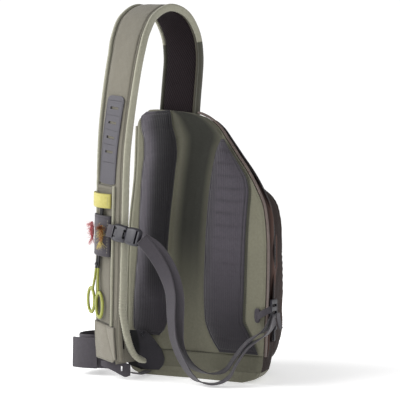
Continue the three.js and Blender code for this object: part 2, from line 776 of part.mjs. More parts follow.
// Section with six corners, pointed at its two edges, and a round one
function edgedSection(width, thickness) {
  const w = width / 2;
  const t = thickness / 2;
  const c = Math.min(w, t) * 0.9;
  return [[-w, 0], [-w + c, -t], [w - c, -t], [w, 0], [w - c, t], [-w + c, t]];
}
function thinSection(width, thickness) {
  const w = width / 2;
  const t = thickness / 2;
  return [[-w, -t], [w, -t], [w, t], [-w, t]];
}
function roundSection(sides, radius) {
  return span(sides - 1).map((v) => {
    const angle = 2 * Math.PI * v * ((sides - 1) / sides);
    return [radius * Math.cos(angle), radius * Math.sin(angle)];
  });
}

function sweepRings(frames, section, across = 0, out = 0) {
  return frames.map((frame) => section.map(([a, o]) => framePoint(frame, across + a, out + o)));
}
function sweep(frames, section, across = 0, out = 0) {
  return ringSolid(sweepRings(frames, section, across, out));
}

// The strap's own frames, and the place along it where its front leg is at a height
const strapPoints = strapRows.map((row) => new THREE.Vector3(
  packWidth * row.across,
  panelFace - strapReach * row.out,
  strapTop * row.up,
));
function strapFrames(steps, from = 0, to = 1) {
  return pathFrames(strapPoints, strapRows, steps, from, to);
}
function strapPlace(height) {
  let low = 0.35;
  let high = 1;
  for (let i = 0; i < 24; i += 1) {
    const middle = (low + high) / 2;
    if (strapFrames(1, middle, middle)[0].centre.z > height) low = middle;
    else high = middle;
  }
  return (low + high) / 2;
}
function legFrames(top, bottom, steps) {
  return strapFrames(steps, strapPlace(top), strapPlace(bottom));
}

const strapFace = strapThickness / 2;
const bodyWidth = strapWidth - 2 * (bindingWidth + seamGap);

// Strap part whose first ring is seated on the pack's sloping top
function strapSweep(frames, section, across = 0, out = 0) {
  const rings = sweepRings(frames, section, across, out);
  rings[0].forEach((point) => point.setZ(packTop(point.x) + 2 * seamGap));
  return ringSolid(rings);
}

function strapBody() {
  return strapSweep(strapFrames(strapSteps), flatSection(bodyWidth, strapThickness, 0.7));
}

function strapBinding(side) {
  const offset = side * (bodyWidth / 2 + seamGap + bindingWidth / 2);
  const end = side > 0 ? strapPlace(bindingEnd) : 1;
  return strapSweep(strapFrames(strapSteps, 0, end), edgedSection(bindingWidth, bindingThickness), offset);
}

function strapLining() {
  const half = bodyWidth / 2 - 2;
  const near = -(strapFace + seamGap);
  const grid = (out) => strapFrames(strapSteps).slice(0, -1).map((frame, i) => [-half, half].map((across) => {
    const point = framePoint(frame, across, out);
    return i === 0 ? point.setZ(packTop(point.x) + 2 * seamGap) : point;
  }));
  return sheetSolid(grid(near), grid(near - liningThickness));
}

// Flat piece laid on the strap's outer face between two heights of its front leg; its middle
// moves across the strap from one end to the other
function strapPatch(top, bottom, steps, width, thickness, acrossTop, acrossBottom, lift) {
  const out = strapFace + seamGap + lift + thickness / 2;
  const frames = legFrames(top, bottom, steps);
  frames.forEach((frame, i) => {
    frame.centre = framePoint(frame, mix(acrossTop, acrossBottom, i / steps), out);
  });
  return sweep(frames, flatSection(width, thickness, 0.6));
}

// Daisy tab: laminate with a row of cross slots
const daisyAcrossTop = 2;
const daisyAcrossBottom = -5.5;
function daisyTab() {
  const tab = strapPatch(daisyTop, daisyBottom, 10, daisyWidth, daisyThickness, daisyAcrossTop, daisyAcrossBottom, 0);
  let solid = toSolid(tab);
  for (let i = 0; i < slotCount; i += 1) {
    const height = daisyTop - slotPitch * (0.85 + i);
    const [frame] = legFrames(height, height, 1);
    const depth = daisyThickness * 3;
    const box = new THREE.BoxGeometry(slotWidth, slotHeight, depth);
    const basis = new THREE.Matrix4().makeBasis(frame.across, frame.along, frame.out.clone().negate());
    const share = (daisyTop - height) / (daisyTop - daisyBottom);
    const across = mix(daisyAcrossTop, daisyAcrossBottom, share);
    basis.setPosition(framePoint(frame, across, strapFace + seamGap + daisyThickness / 2));
    box.applyMatrix4(basis);
    solid = solid.subtract(toSolid(box));
  }
  return fromSolid(solid);
}

// Tool panel and the cord ridge along its right side
const toolPanelAcross = -10;
const toolFace = strapFace + seamGap + toolPanelThickness;
function toolPanel() {
  const across = toolPanelAcross;
  return strapPatch(toolPanelTop, bootTop + 1, 14, toolPanelWidth, toolPanelThickness, across, across, 0);
}
function toolRidge() {
  const across = toolPanelAcross + toolPanelWidth / 2 + 2 * seamGap + ridgeRadius;
  const out = strapFace + seamGap + ridgeRadius;
  return sweep(legFrames(toolPanelTop, bootTop + 1, 14), roundSection(edgeSides, ridgeRadius), across, out);
}

// Band that bows over the forceps: sewn flat at its ends, it rises to a height in the middle
function bowedBand(middleHeight, height, bandSpan, thickness, across, rise) {
  const frames = legFrames(middleHeight + height / 2, middleHeight - height / 2, 4);
  const steps = 12;
  const bow = (v) => rise * Math.sin(Math.PI * v) ** 0.7;
  const grid = (lift) => frames.map((frame) => span(steps).map((v) => framePoint(
    frame,
    across + bandSpan * (v - 0.5),
    toolFace + seamGap + bow(v) + lift,
  )));
  return sheetSolid(grid(thickness), grid(0));
}

const forcepsAcross = -9;
const limeTabHeight = 292.5;
const patchMiddle = 236.5;
function limeTab() {
  return bowedBand(limeTabHeight, tabWidth, tabSpan, tabThickness, forcepsAcross - 4, tabRise);
}
function flyPatch() {
  return bowedBand(patchMiddle, patchHeight, patchSpan, patchThickness, forcepsAcross - 2, patchRise);
}

// Forceps: two closed arms that cross at a screw, each ending in a long finger ring
const forcepsOut = toolFace + forcepsClear + shaftThickness / 2;
const forcepsRows = [
  { place: 0.0, apart: 1.4, lean: 0 },
  { place: 0.34, apart: 1.7, lean: -5 },
  { place: 0.48, apart: 1.7, lean: -9 },
  { place: 0.62, apart: 2.6, lean: -14 },
  { place: 0.8, apart: 6.8, lean: -19 },
];
function forcepsArm(side) {
  const ringTop = 0.77;
  const armEnd = 0.8;
  const steps = 9;
  const armFrames = span(steps).map((v) => {
    const place = v * armEnd;
    const [frame] = legFrames(forcepsTop - forcepsLength * place, forcepsTop - forcepsLength * place, 1);
    const apart = side * shaftWidth * 0.25 * column(forcepsRows, 'place', 'apart', place);
    const lean = column(forcepsRows, 'place', 'lean', place);
    return { ...frame, centre: framePoint(frame, forcepsAcross + lean + apart, forcepsOut) };
  });
  const section = flatSection(shaftWidth * 0.5, shaftThickness, 0.5);
  const arm = sweep(armFrames, section);
  const ringMiddle = forcepsTop - forcepsLength * (ringTop + 0.5 * (1 - ringTop));
  const [frame] = legFrames(ringMiddle, ringMiddle, 1);
  const lean = column(forcepsRows, 'place', 'lean', ringTop);
  const offset = side * (ringWidth / 2 + seamGap);
  const centre = framePoint(frame, forcepsAcross + lean + offset, forcepsOut)
    .addScaledVector(frame.along, side * ringSlip);
  const ringSteps = 14;
  const rings = span(ringSteps - 1).map((v) => {
    const angle = 2 * Math.PI * v * ((ringSteps - 1) / ringSteps);
    const outward = frame.across.clone().multiplyScalar(Math.cos(angle))
      .addScaledVector(frame.along, Math.sin(angle));
    const middle = centre.clone()
      .addScaledVector(frame.across, (ringWidth / 2 - ringWire) * Math.cos(angle))
      .addScaledVector(frame.along, (ringHeight / 2 - ringWire) * Math.sin(angle));
    return roundSection(edgeSides, ringWire).map(([a, o]) => middle.clone()
      .addScaledVector(outward, a)
      .addScaledVector(frame.out, o * 0.75));
  });
  return fromSolid(toSolid(arm).add(toSolid(ringSolid(rings, true))));
}

const screwPlace = 0.56;
function forcepsScrew() {
  const height = forcepsTop - forcepsLength * screwPlace;
  const [frame] = legFrames(height, height, 1);
  const head = new THREE.CylinderGeometry(screwRadius, screwRadius, 1.6, 12);
  const basis = new THREE.Matrix4().makeBasis(frame.across, frame.out, frame.along);
  const lean = column(forcepsRows, 'place', 'lean', screwPlace);
  basis.setPosition(framePoint(frame, forcepsAcross + lean, forcepsOut + shaftThickness / 2 + 0.8 + 0.3));
  head.applyMatrix4(basis);
  return head;
}

// Fly: a spindle body along a hook, hung on the patch
function fly(height, across, out, tilt) {
  const [frame] = legFrames(height, height, 1);
  const steps = 8;
  const sides = 7;
  const along = frame.along.clone().applyAxisAngle(frame.out, tilt * degrees);
  const side = new THREE.Vector3().crossVectors(along, frame.out);
  const centre = framePoint(frame, across, out);
  const rings = span(steps).map((v) => {
    const radius = flyRadius * (0.25 + 0.75 * Math.sin(Math.PI * (0.08 + 0.84 * v)));
    return span(sides - 1).map((w) => {
      const angle = 2 * Math.PI * w * ((sides - 1) / sides);
      return centre.clone()
        .addScaledVector(along, flyLength * (v - 0.5))
        .addScaledVector(side, radius * Math.cos(angle))
        .addScaledVector(frame.out, radius * Math.sin(angle));
    });
  });
  return ringSolid(rings);
}

// Boot: the stitched end panel that wraps the strap's lower end
const bootAcross = -7;
function strapBoot() {
  const out = bindingThickness / 2 + seamGap + bootThickness / 2;
  return sweep(legFrames(bootTop, bootBottom, 5), flatSection(bootWidth, bootThickness, 0.6), bootAcross, out);
}

function pathPoints(rows, upSize) {
  return rows.map((row) => new THREE.Vector3(
    packWidth * row.across,
    panelFace - strapReach * row.out,
    upSize * (row.up ?? 0),
  ));
}

function strapTongue() {
  const frames = pathFrames(pathPoints(tongueRows, strapTop), tongueRows, 8);
  return sweep(frames, edgedSection(bindingWidth + 2, bindingThickness * 0.6));
}

// Upright webbing: its width stands on end along a path seen from above
function uprightBand(rows, steps, width, thickness, bottom) {
  const level = rows.map((row) => ({ ...row, up: 0, turn: 0, roll: -90 }));
  const frames = pathFrames(pathPoints(level, 1), level, steps);
  frames.forEach((frame) => {
    frame.centre.z = bottom + width / 2;
  });
  return sweep(frames, thinSection(width, thickness));
}

function waistWebbing() {
  return uprightBand(waistRows, 24, waistWidth, waistThickness, waistFloorGap);
}
function webbingTail() {
  const rows = [
    { across: -0.622, out: 0.409 },
    { across: -0.69, out: 0.434 },
    { across: -0.75, out: 0.434 },
    { across: -0.807, out: 0.41 },
  ];
  return uprightBand(rows, 6, waistWidth - 5, waistThickness, waistFloorGap);
}

function narrowWebbing(rows) {
  const frames = pathFrames(pathPoints(rows, baseBackHeight), rows, webSteps);
  return sweep(frames, thinSection(adjusterWidth, adjusterThickness));
}

// Grid of points between the left and right sides of the wing
function wing() {
  const levels = levelsBetween(wingRows[0].up, wingRows[wingRows.length - 1].up, 8);
  const grid = (lift) => levels.map((up) => span(6).map((v) => {
    const left = column(wingRows, 'up', 'left', up);
    const right = column(wingRows, 'up', 'right', up);
    const out = mix(column(wingRows, 'up', 'leftOut', up), column(wingRows, 'up', 'rightOut', up), v);
    return new THREE.Vector3(packWidth * mix(left, right, v), panelFace - wingReach * out - lift, wingHeight * up);
  }));
  const plate = toSolid(sheetSolid(grid(wingThickness), grid(0)));
  return fromSolid(plate.subtract(toSolid(acrossCylinder(eyeletHole, wingThickness * 6, eyeletCentre))));
}

// Cylinder whose axis points forward
function acrossCylinder(radius, length, centre) {
  const cylinder = new THREE.CylinderGeometry(radius, radius, length, 12);
  return cylinder.translate(centre.x, centre.y, centre.z);
}
const eyeletCentre = new THREE.Vector3(
  packWidth * -0.352,
  panelFace - wingReach * 0.8 - wingThickness / 2,
  wingHeight * 0.92,
);
function eyelet() {
  const centre = eyeletCentre.clone();
  centre.y -= wingThickness / 2 + seamGap + eyeletThickness / 2;
  const ring = toSolid(acrossCylinder(eyeletRadius, eyeletThickness, centre));
  return fromSolid(ring.subtract(toSolid(acrossCylinder(eyeletHole, eyeletThickness * 4, centre))));
}

// Webbing tab under the boot, with its slot
function bootTab() {
  const last = bootTabRows.length - 1;
  const keyed = bootTabRows.map((row, i) => ({ ...row, place: i / last }));
  const at = (name, place) => column(keyed, 'place', name, place);
  const grid = (lift) => span(3).map((v) => span(10).map((u) => new THREE.Vector3(
    packWidth * at('across', u),
    panelFace - strapReach * at('out', u) - lift,
    bootBottom * mix(at('low', u), at('top', u), v),
  )));
  const tab = toSolid(sheetSolid(grid(bootTabThickness), grid(0)));
  const place = 0.66;
  const slot = new THREE.BoxGeometry(tabSlot, bootTabThickness * 8, tabSlot * 2);
  slot.translate(
    packWidth * at('across', place),
    panelFace - strapReach * at('out', place),
    bootBottom * mix(at('low', place), at('top', place), 0.5),
  );
  return fromSolid(tab.subtract(toSolid(slot)));
}

function baseWeb() {
  return sweep(pathFrames(pathPoints(baseWebRows, baseHeight), baseWebRows, 6), thinSection(16, adjusterThickness));
}

// Side release buckle: its frame runs from the strap to the webbing and faces forward right
const buckleStart = new THREE.Vector3(-88.5, -164.8, 243.5);
const buckleEnd = new THREE.Vector3(-28.8, -181.4, 232.7);
const buckleAlong = new THREE.Vector3().subVectors(buckleEnd, buckleStart).normalize();
const buckleFace = new THREE.Vector3(0.438, -0.899, 0.02)
  .addScaledVector(buckleAlong, -new THREE.Vector3(0.438, -0.899, 0.02).dot(buckleAlong))
  .normalize();
const buckleUp = new THREE.Vector3().crossVectors(buckleFace, buckleAlong);
function buckleBox(length, height, thickness, along, up = 0, out = 0) {
  const box = new THREE.BoxGeometry(length, height, thickness);
  box.translate(along, up, out);
  const basis = new THREE.Matrix4().makeBasis(buckleAlong, buckleUp, buckleFace);
  basis.setPosition(buckleStart);
  return toSolid(box.applyMatrix4(basis));
}
// Rounded plate: its corners taper towards both ends
function buckleBody(from, to, endShare) {
  const rings = [0, 0.12, 0.5, 0.88, 1].map((v, i) => {
    const share = [endShare, 0.96, 1, 0.96, endShare][i];
    return flatSection(buckleWidth * share, buckleThickness * share, 0.7).map(([a, o]) => buckleStart.clone()
      .addScaledVector(buckleAlong, mix(from, to, v))
      .addScaledVector(buckleUp, a)
      .addScaledVector(buckleFace, o));
  });
  return toSolid(ringSolid(rings));
}
const femaleFrom = buckleLength * 0.09;
const femaleTo = buckleLength * 0.55;
const maleTo = buckleLength * 0.99;
function buckleFemale() {
  const length = femaleTo - femaleFrom;
  const wall = 2;
  return fromSolid(buckleBody(femaleFrom, femaleTo, 0.86)
    .subtract(buckleBox(length - 8, buckleWidth - 3 * wall, buckleThickness - 2 * wall, femaleTo - (length - 8) / 2 + 0.01))
    .subtract(buckleBox(3.6, buckleWidth - 9, buckleThickness * 2, femaleFrom + 4))
    .subtract(buckleBox(10, buckleWidth * 2, 3.4, femaleTo - 11)));
}
function buckleMale() {
  const inside = buckleThickness - 4 - 2 * seamGap;
  const reach = 17;
  const prong = (side) => buckleBox(reach, 4.2, inside, femaleTo - reach / 2 + 2, side * 8.2);
  return fromSolid(buckleBody(femaleTo + seamGap, maleTo, 0.84)
    .subtract(buckleBox(3.8, buckleWidth - 8, buckleThickness * 2, maleTo - 5))
    .add(prong(1))
    .add(prong(-1))
    .add(buckleBox(reach - 3, 5, inside, femaleTo - (reach - 3) / 2 + 2)));
}
function buckleStub() {
  const end = femaleFrom - seamGap;
  const section = thinSection(adjusterWidth, adjusterThickness);
  return ringSolid([-9, -4, end].map((along) => section.map(([a, o]) => buckleStart.clone()
    .addScaledVector(buckleAlong, along)
    .addScaledVector(buckleUp, a)
    .addScaledVector(buckleFace, o))));
}

// Ladder lock flat against the pack's right side: a frame with one cross bar
const ladderMiddle = packHeight * 0.263;
const ladderOut = 8.4;
function ladderCentre() {
  return new THREE.Vector3(packRight(ladderMiddle) + ladderOut, panelFace + 19, ladderMiddle);
}
function ladderBox(width, height, thickness, up = 0) {
  const { x, y, z } = ladderCentre();
  return toSolid(new THREE.BoxGeometry(thickness, width, height).translate(x, y, z + up));
}
function ladderLock() {
  const slot = (ladderHeight - 3 * ladderBar) / 2;
  const away = (slot + ladderBar) / 2;
  return fromSolid(ladderBox(ladderWidth, ladderHeight, ladderThickness)
    .subtract(ladderBox(ladderWidth - 5, slot, ladderThickness * 2, away))
    .subtract(ladderBox(ladderWidth - 5, slot, ladderThickness * 2, -away)));
}

// Rounded loop end of the anchor on the panel's right margin, and the free end of webbing
function anchorLoop() {
  const centre = new THREE.Vector3(packWidth * 0.436, panelFace - seamGap - loopThickness / 2, packHeight * 0.241);
  const shares = [0.5, 0.86, 1, 1, 0.86, 0.5];
  const places = [-0.5, -0.42, -0.25, 0.25, 0.42, 0.5];
  return ringSolid(places.map((place, i) => flatSection(loopWidth * shares[i], loopThickness, 0.7)
    .map(([a, o]) => new THREE.Vector3(centre.x + a, centre.y + o, centre.z + loopHeight * place))));
}
function anchorTail() {
  const { x, y, z } = ladderCentre();
  const top = z - ladderHeight / 2 + ladderBar;
  const section = thinSection(adjusterWidth - 3, adjusterThickness);
  return ringSolid([0, 0.5, 1].map((v) => section.map(([a, o]) => new THREE.Vector3(
    x + ladderThickness / 2 + 3 * seamGap + 1.5 * adjusterThickness + o + 5 * v * v,
    y + 4 + a,
    top - tailLength * v,
  ))));
}

// Pulls at the ends of the two zips
function mainPull() {
  const z = packHeight * 0.2;
  const forward = packDepth(z) * zipShare;
  const share = (forward / packDepth(z)) ** shellSquareness;
  const half = (packRight(z) - packLeft(z)) / 2;
  const x = packRight(z) - half * (1 - (1 - share) ** (1 / shellSquareness));
  const out = new THREE.Vector3(1, 0, 0);
  const centre = new THREE.Vector3(x + zipThickness + 4 * seamGap, shellBack + forward, z);
  return zipPull(centre, new THREE.Vector3(0, -1, 0), out);
}
function pocketPull() {
  const centre = pocketPoint(0.2, pocketZipRise);
  centre.y += zipThickness + 5 * seamGap;
  centre.z += pullLength * 0.12;
  return zipPull(centre, new THREE.Vector3(1, 0, 0), new THREE.Vector3(0, 1, 0));
}

const bag = new THREE.Group();

function add(name, geometry, material) {
  geometry.computeVertexNormals();
  const mesh = new THREE.Mesh(geometry, material);
  mesh.name = name;
  bag.add(mesh);
}

// Body of the pack
add('main_shell', mainShell(), brownCloth);
add('base_panel', basePanel(), panelCloth);
add('back_panel', backPanel(), panelCloth);
add('pad_left', backPad(leftPadRows), padCloth);
add('pad_right', backPad(rightPadRows), padCloth);
add('front_pocket', frontPocket(), brownCloth);
add('piping_left', edgePiping(-1, 0.94), sageCloth);
add('piping_right', edgePiping(1, 0.97), sageCloth);
add('main_zip', mainZip(), blackCloth);
add('pocket_zip', pocketZip(), blackCloth);
add('main_pull', mainPull(), greyPlastic);
add('pocket_pull', pocketPull(), greyPlastic);

// Shoulder strap
add('strap_body', strapBody(), sageCloth);
add('strap_lining', strapLining(), meshCloth);
add('strap_binding_left', strapBinding(-1), sageCloth);
add('strap_binding_right', strapBinding(1), sageCloth);
add('daisy_tab', daisyTab(), greyLaminate);
add('tool_panel', toolPanel(), sageCloth);
add('tool_ridge', toolRidge(), sageCloth);
add('lime_tab', limeTab(), limeWebbing);
add('fly_patch', flyPatch(), greyWebbing);
add('strap_boot', strapBoot(), sageCloth);
add('strap_tongue', strapTongue(), sageCloth);

// Webbing
add('waist_webbing', waistWebbing(), greyWebbing);
add('webbing_tail', webbingTail(), greyWebbing);
add('adjuster_web_front', narrowWebbing(frontWebRows), greyWebbing);
add('adjuster_web_rear', narrowWebbing(rearWebRows), greyWebbing);
add('wing', wing(), blackCloth);
add('eyelet', eyelet(), greyPlastic);
add('boot_tab', bootTab(), greyWebbing);
add('base_web', baseWeb(), greyWebbing);
add('anchor_loop', anchorLoop(), greyWebbing);
add('anchor_tail', anchorTail(), greyWebbing);

// Plastic fittings
add('buckle_stub', buckleStub(), greyWebbing);
add('buckle_female', buckleFemale(), greyPlastic);
add('buckle_male', buckleMale(), greyPlastic);
add('ladder_lock', ladderLock(), greyPlastic);

// Tackle carried on the strap
add('forceps_arm_left', forcepsArm(-1), limeEnamel);
add('forceps_arm_right', forcepsArm(1), limeEnamel);
add('forceps_screw', forcepsScrew(), darkSteel);
add('fly_red', fly(flyHeight, -37.2, toolFace + 5.4, 4), redFeather);
add('fly_orange', fly(flyHeight, 1, toolFace + patchRise + 4.6, 0), orangeFeather);

// The box round the bag sets the origin at its bottom centre
bag.updateMatrixWorld(true);
const box = new THREE.Box3().setFromObject(bag, true);
bag.position.set(-(box.min.x + box.max.x) / 2, -(box.min.y + box.max.y) / 2, -box.min.z);
bag.updateMatrixWorld(true);

export default bag;
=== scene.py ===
"""Fishing tackle sling bag: cloth, padding, webbing, plastic and the tackle on its strap."""
import math

import bmesh
import bpy
import numpy as np
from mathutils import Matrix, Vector
from mathutils.bvhtree import BVHTree


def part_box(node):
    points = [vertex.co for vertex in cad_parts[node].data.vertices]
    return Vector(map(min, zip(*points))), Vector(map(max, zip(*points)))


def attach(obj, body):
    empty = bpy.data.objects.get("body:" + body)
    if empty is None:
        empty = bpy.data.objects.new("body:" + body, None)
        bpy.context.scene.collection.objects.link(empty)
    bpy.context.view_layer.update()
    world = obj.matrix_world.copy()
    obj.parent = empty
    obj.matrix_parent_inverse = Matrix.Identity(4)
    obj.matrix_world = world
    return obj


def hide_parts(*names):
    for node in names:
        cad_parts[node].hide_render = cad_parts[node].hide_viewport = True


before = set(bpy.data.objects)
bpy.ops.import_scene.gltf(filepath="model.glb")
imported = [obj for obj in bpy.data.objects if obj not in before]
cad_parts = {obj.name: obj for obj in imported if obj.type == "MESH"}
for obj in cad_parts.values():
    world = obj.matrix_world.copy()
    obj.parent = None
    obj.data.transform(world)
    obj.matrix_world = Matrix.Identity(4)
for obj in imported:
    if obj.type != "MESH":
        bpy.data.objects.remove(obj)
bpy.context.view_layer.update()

# Sizes in millimetres, in the bag's own axes, whose origin lies under the middle of the back
PACK_WIDTH = 256
PACK_HEIGHT = 452
SHELL_DEPTH = 96
SQUARENESS = 3.4
PANEL_FACE = -45
PANEL_THICKNESS = 4.4
SEAM_GAP = 0.4
SHELL_BACK = PANEL_FACE + PANEL_THICKNESS + SEAM_GAP
BASE_HEIGHT = 17
BASE_BACK = 44
PAD_THICKNESS = 12.5
PAD_RIM = 2
POCKET_BOTTOM = 24
POCKET_HEIGHT = 300
POCKET_DEPTH = 63
ZIP_WIDTH = 13
STRAP_REACH = 126
STRAP_TOP = 609
STRAP_WIDTH = 80
STRAP_THICKNESS = 9.5
BINDING_WIDTH = 7.5
BINDING_THICKNESS = 12
BODY_WIDTH = STRAP_WIDTH - 2 * (BINDING_WIDTH + SEAM_GAP)
STRAP_FACE = STRAP_THICKNESS / 2
TOOL_FACE = STRAP_FACE + SEAM_GAP + 3
TOOL_TOP = 316
TOOL_BOTTOM = 93
TOOL_WIDTH = 43
TOOL_ACROSS = -10.0
LIME_TOP = 304
LIME_BOTTOM = 281
PATCH_TOP = 269
PATCH_BOTTOM = 204
PATCH_RISE = 8.1
BOOT_TOP = 92
BOOT_BOTTOM = 31
BOOT_WIDTH = 62
BOOT_ACROSS = -7.0
DAISY_TOP = 455.0
DAISY_BOTTOM = 318.0
DAISY_WIDTH = 42.0
FLARE_START = 146
ADJUSTER_WIDTH = 19.6
ADJUSTER_THICKNESS = 1.7
WAIST_WIDTH = 57
WAIST_END_WIDTH = 52
WAIST_FLOOR_GAP = 12
WING_HEIGHT = 76
WING_REACH = 17
CHANNEL_DEPTH = 3.85
FORCEPS_TOP = 300
FORCEPS_LENGTH = 200
FORCEPS_ACROSS = -9
FLY_HEIGHT = 240
SHELL_LEFT = -130.81
# forward and height where each fold of the side starts and ends, its width and its height
SHELL_FOLDS = [
    ((34, 330), (20, 205), 6, 3.4), ((60, 262), (36, 150), 6, 4.2), ((22, 215), (52, 70), 7, 4.6),
    ((74, 190), (84, 50), 8, 4.0), ((48, 395), (66, 300), 7, 3.0), ((8, 120), (22, 30), 6, 3.0),
]
POCKET_FOLDS = [
    ((82, 290), (106, 190), 7, 2.6), ((72, 215), (98, 70), 8, 4.0), ((128, 205), (104, 110), 7, 2.0),
    ((100, 110), (126, 40), 7, 2.0),
]

# Where the bag's own origin stands in the frame, from two nodes whose own place is known
OFFSET = np.array([
    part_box("main_shell")[0].x * 1000 - SHELL_LEFT,
    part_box("back_panel")[0].y * 1000 - PANEL_FACE,
    0.0,
])

# height, left, right, depth
PACK = np.array([
    (0, -.42, .345, .93), (.018, -.482, .42, .965), (.05, -.503, .455, .985), (.115, -.511, .468, 1),
    (.22, -.51, .475, 1), (.36, -.506, .485, 1), (.48, -.499, .489, .98), (.55, -.492, .484, .96),
    (.62, -.481, .468, .93), (.69, -.465, .418, .88), (.75, -.453, .36, .82), (.81, -.447, .288, .74),
    (.87, -.444, .218, .64), (.915, -.441, .164, .56), (.945, -.439, .104, .5), (.965, -.427, .038, .46),
    (.98, -.39, -.06, .43), (1, -.355, -.29, .4),
])
# height, left, right of each back pad
LEFT_PAD = np.array([
    (.15, -.4, -.262), (.175, -.452, -.222), (.21, -.456, -.202), (.316, -.447, -.212),
    (.464, -.424, -.202), (.597, -.41, -.182), (.69, -.401, -.161), (.762, -.391, -.146),
    (.83, -.376, -.132), (.88, -.377, -.14), (.935, -.399, -.168), (.972, -.402, -.177),
    (.992, -.36, -.185),
])
RIGHT_PAD = np.array([
    (.103, .178, .437), (.14, .132, .408), (.178, .098, .372), (.222, .074, .336), (.322, .067, .343),
    (.466, .075, .351), (.562, .085, .36), (.623, .094, .369), (.68, .105, .377), (.72, .115, .366),
    (.77, .13, .318), (.83, .156, .248), (.872, .19, .208),
])
# across, out, up, turn, roll of paths
STRAP = np.array([
    (-.152, -.143, .747, -8, 7), (-.131, -.135, .823, -8, 7), (-.116, -.111, .89, -9, 6),
    (-.115, -.02, .946, -10, 7), (-.139, .18, .992, -12, 9), (-.189, .437, 1.002, -13, 10),
    (-.228, .69, .967, -14, 9), (-.234, .873, .912, -16, 6), (-.234, .965, .864, -18, 5),
    (-.25, 1, .81, -19, 5), (-.299, .976, .699, -21, 5), (-.34, .913, .61, -23, 5),
    (-.391, .786, .4286, -24, 5), (-.442, .643, .215, -26, 3), (-.459, .587, .134, -27, 1),
    (-.461, .535, .05, -27, 0),
])
TONGUE = np.array([
    (-.321, .718, .167, -27, 2), (-.317, .66, .125, -24, 10), (-.314, .55, .082, -16, 30),
    (-.3, .445, .06, -8, 46), (-.274, .341, .05, 0, 56),
])
FRONT_WEB = np.array([
    (-.088, 1.094, 5.25, 30, -78), (-.0516, .97, 4.805, 26, -48), (-.004, .868, 4.17, 10, -28),
    (.015, .757, 3.39, -10, -6), (-.008, .643, 2.37, -22, 4), (-.007, .579, 1.64, -28, -4),
    (.031, .5, .88, -34, -22), (.092, .437, .3, -46, -22), (.168, .413, .12, -74, -8),
    (.248, .4, .14, -70, 0), (.313, .345, .36, -66, 10), (.356, .29, .87, -66, 12),
    (.42, .24, 1.42, -70, 10), (.521, .155, 1.88, -68, -17), (.5335, -.08, 2.34, -90, -58),
])
REAR_WEB = np.array([
    (-.09, 1.062, 5.25, 30, -78), (-.034, .91, 4.91, 26, -48), (.031, .794, 4.165, 10, -28),
    (.05, .672, 3.27, -4, -8), (.023, .548, 2.17, -14, 6), (.009, .468, 1.43, -20, -8),
    (.041, .373, .8, -34, -26), (.109, .31, .48, -50, -18), (.194, .262, .4, -70, -4),
    (.262, .22, .54, -62, 10), (.322, .21, 1, -60, 12), (.402, .2, 1.56, -66, 10),
    (.493, .15, 1.96, -68, -17), (.515, -.06, 2.28, -90, -58),
])
BASE_WEB = np.array(
    [(-.345, .385, .62, 0, 0), (-.35, .27, .36, 0, 0), (-.352, .14, .3, 0, 0), (-.352, .004, .34, 0, 0)]
)
# across, out of upright webbing
WAIST = np.array([
    (-.477, .342), (-.586, .352), (-.684, .412), (-.746, .4), (-.797, .27), (-.797, .056),
    (-.738, -.087), (-.65, -.103), (-.574, -.008), (-.535, .056),
])
WAIST_END = np.array([(-.622, .409), (-.69, .434), (-.75, .434), (-.807, .41)])
# up, left, right, left out, right out of the wing
WING = np.array([
    (.13, -.379, -.262, .5, .03), (.25, -.463, -.232, .88, .03), (.37, -.465, -.223, .96, .03),
    (.55, -.464, -.24, .98, .06), (.72, -.462, -.27, 1, .26), (.9, -.459, -.305, 1, .64),
    (1, -.445, -.345, 1, .76),
])
# across, out, top, low of the tab under the boot
BOOT_TAB = np.array([
    (-.543, .535, .955, .72), (-.508, .54, .955, .62), (-.457, .52, .96, .46), (-.414, .5, .96, .28),
    (-.38, .47, .9, .15), (-.355, .43, .78, .22),
])


# Curves and grids, all in whole arrays

def column(rows, k, place):
    """Column k of a table at places along column 0: cubic pieces whose slopes never overshoot the rows."""
    x, y = rows[:, 0], rows[:, k]
    place = np.clip(place, x[0], x[-1])
    i = np.clip(np.searchsorted(x, place, side="right") - 1, 0, len(x) - 2)
    slope = np.diff(y) / np.diff(x)
    a, b = slope[:-1], slope[1:]
    both = np.where(a + b == 0, 1, a + b)
    tangent = np.concatenate([slope[:1], np.where(a * b <= 0, 0, 2 * a * b / both), slope[-1:]])
    span = x[i + 1] - x[i]
    t = (place - x[i]) / span
    rise = y[i] + (y[i + 1] - y[i]) * t * t * (3 - 2 * t)
    return rise + t * (1 - t) ** 2 * span * tangent[i] + t * t * (t - 1) * span * tangent[i + 1]


def pack_left(z):
    """Left edge of the pack at a height."""
    return PACK_WIDTH * column(PACK, 1, z / PACK_HEIGHT)


def pack_right(z):
    """Right edge of the pack at a height."""
    return PACK_WIDTH * column(PACK, 2, z / PACK_HEIGHT)


def pack_depth(z):
    """Depth of the shell at a height."""
    return SHELL_DEPTH * column(PACK, 3, z / PACK_HEIGHT)


def shell_front(x, z):
    """Depth of the shell's front over x and z: back + depth (1 - |x share| ^ 3.4) ^ (1 / 3.4)."""
    half = (pack_right(z) - pack_left(z)) / 2
    middle = (pack_right(z) + pack_left(z)) / 2
    share = np.minimum(np.abs((x - middle) / half), 1)
    return SHELL_BACK + pack_depth(z) * (1 - share ** SQUARENESS) ** (1 / SQUARENESS)


def unit(v):
    """Vectors at length one."""
    return v / np.maximum(np.linalg.norm(v, axis=-1, keepdims=True), 1e-9)


def ease(count):
    """Shares from 0 to 1, closer together at both ends: (1 - cos(pi v)) / 2."""
    return 0.5 - 0.5 * np.cos(np.pi * np.linspace(0, 1, count))


def smooth(low, high, value):
    """0 below low, 1 above high, a smooth cubic step between."""
    t = np.clip((value - low) / (high - low), 0, 1)
    return t * t * (3 - 2 * t)


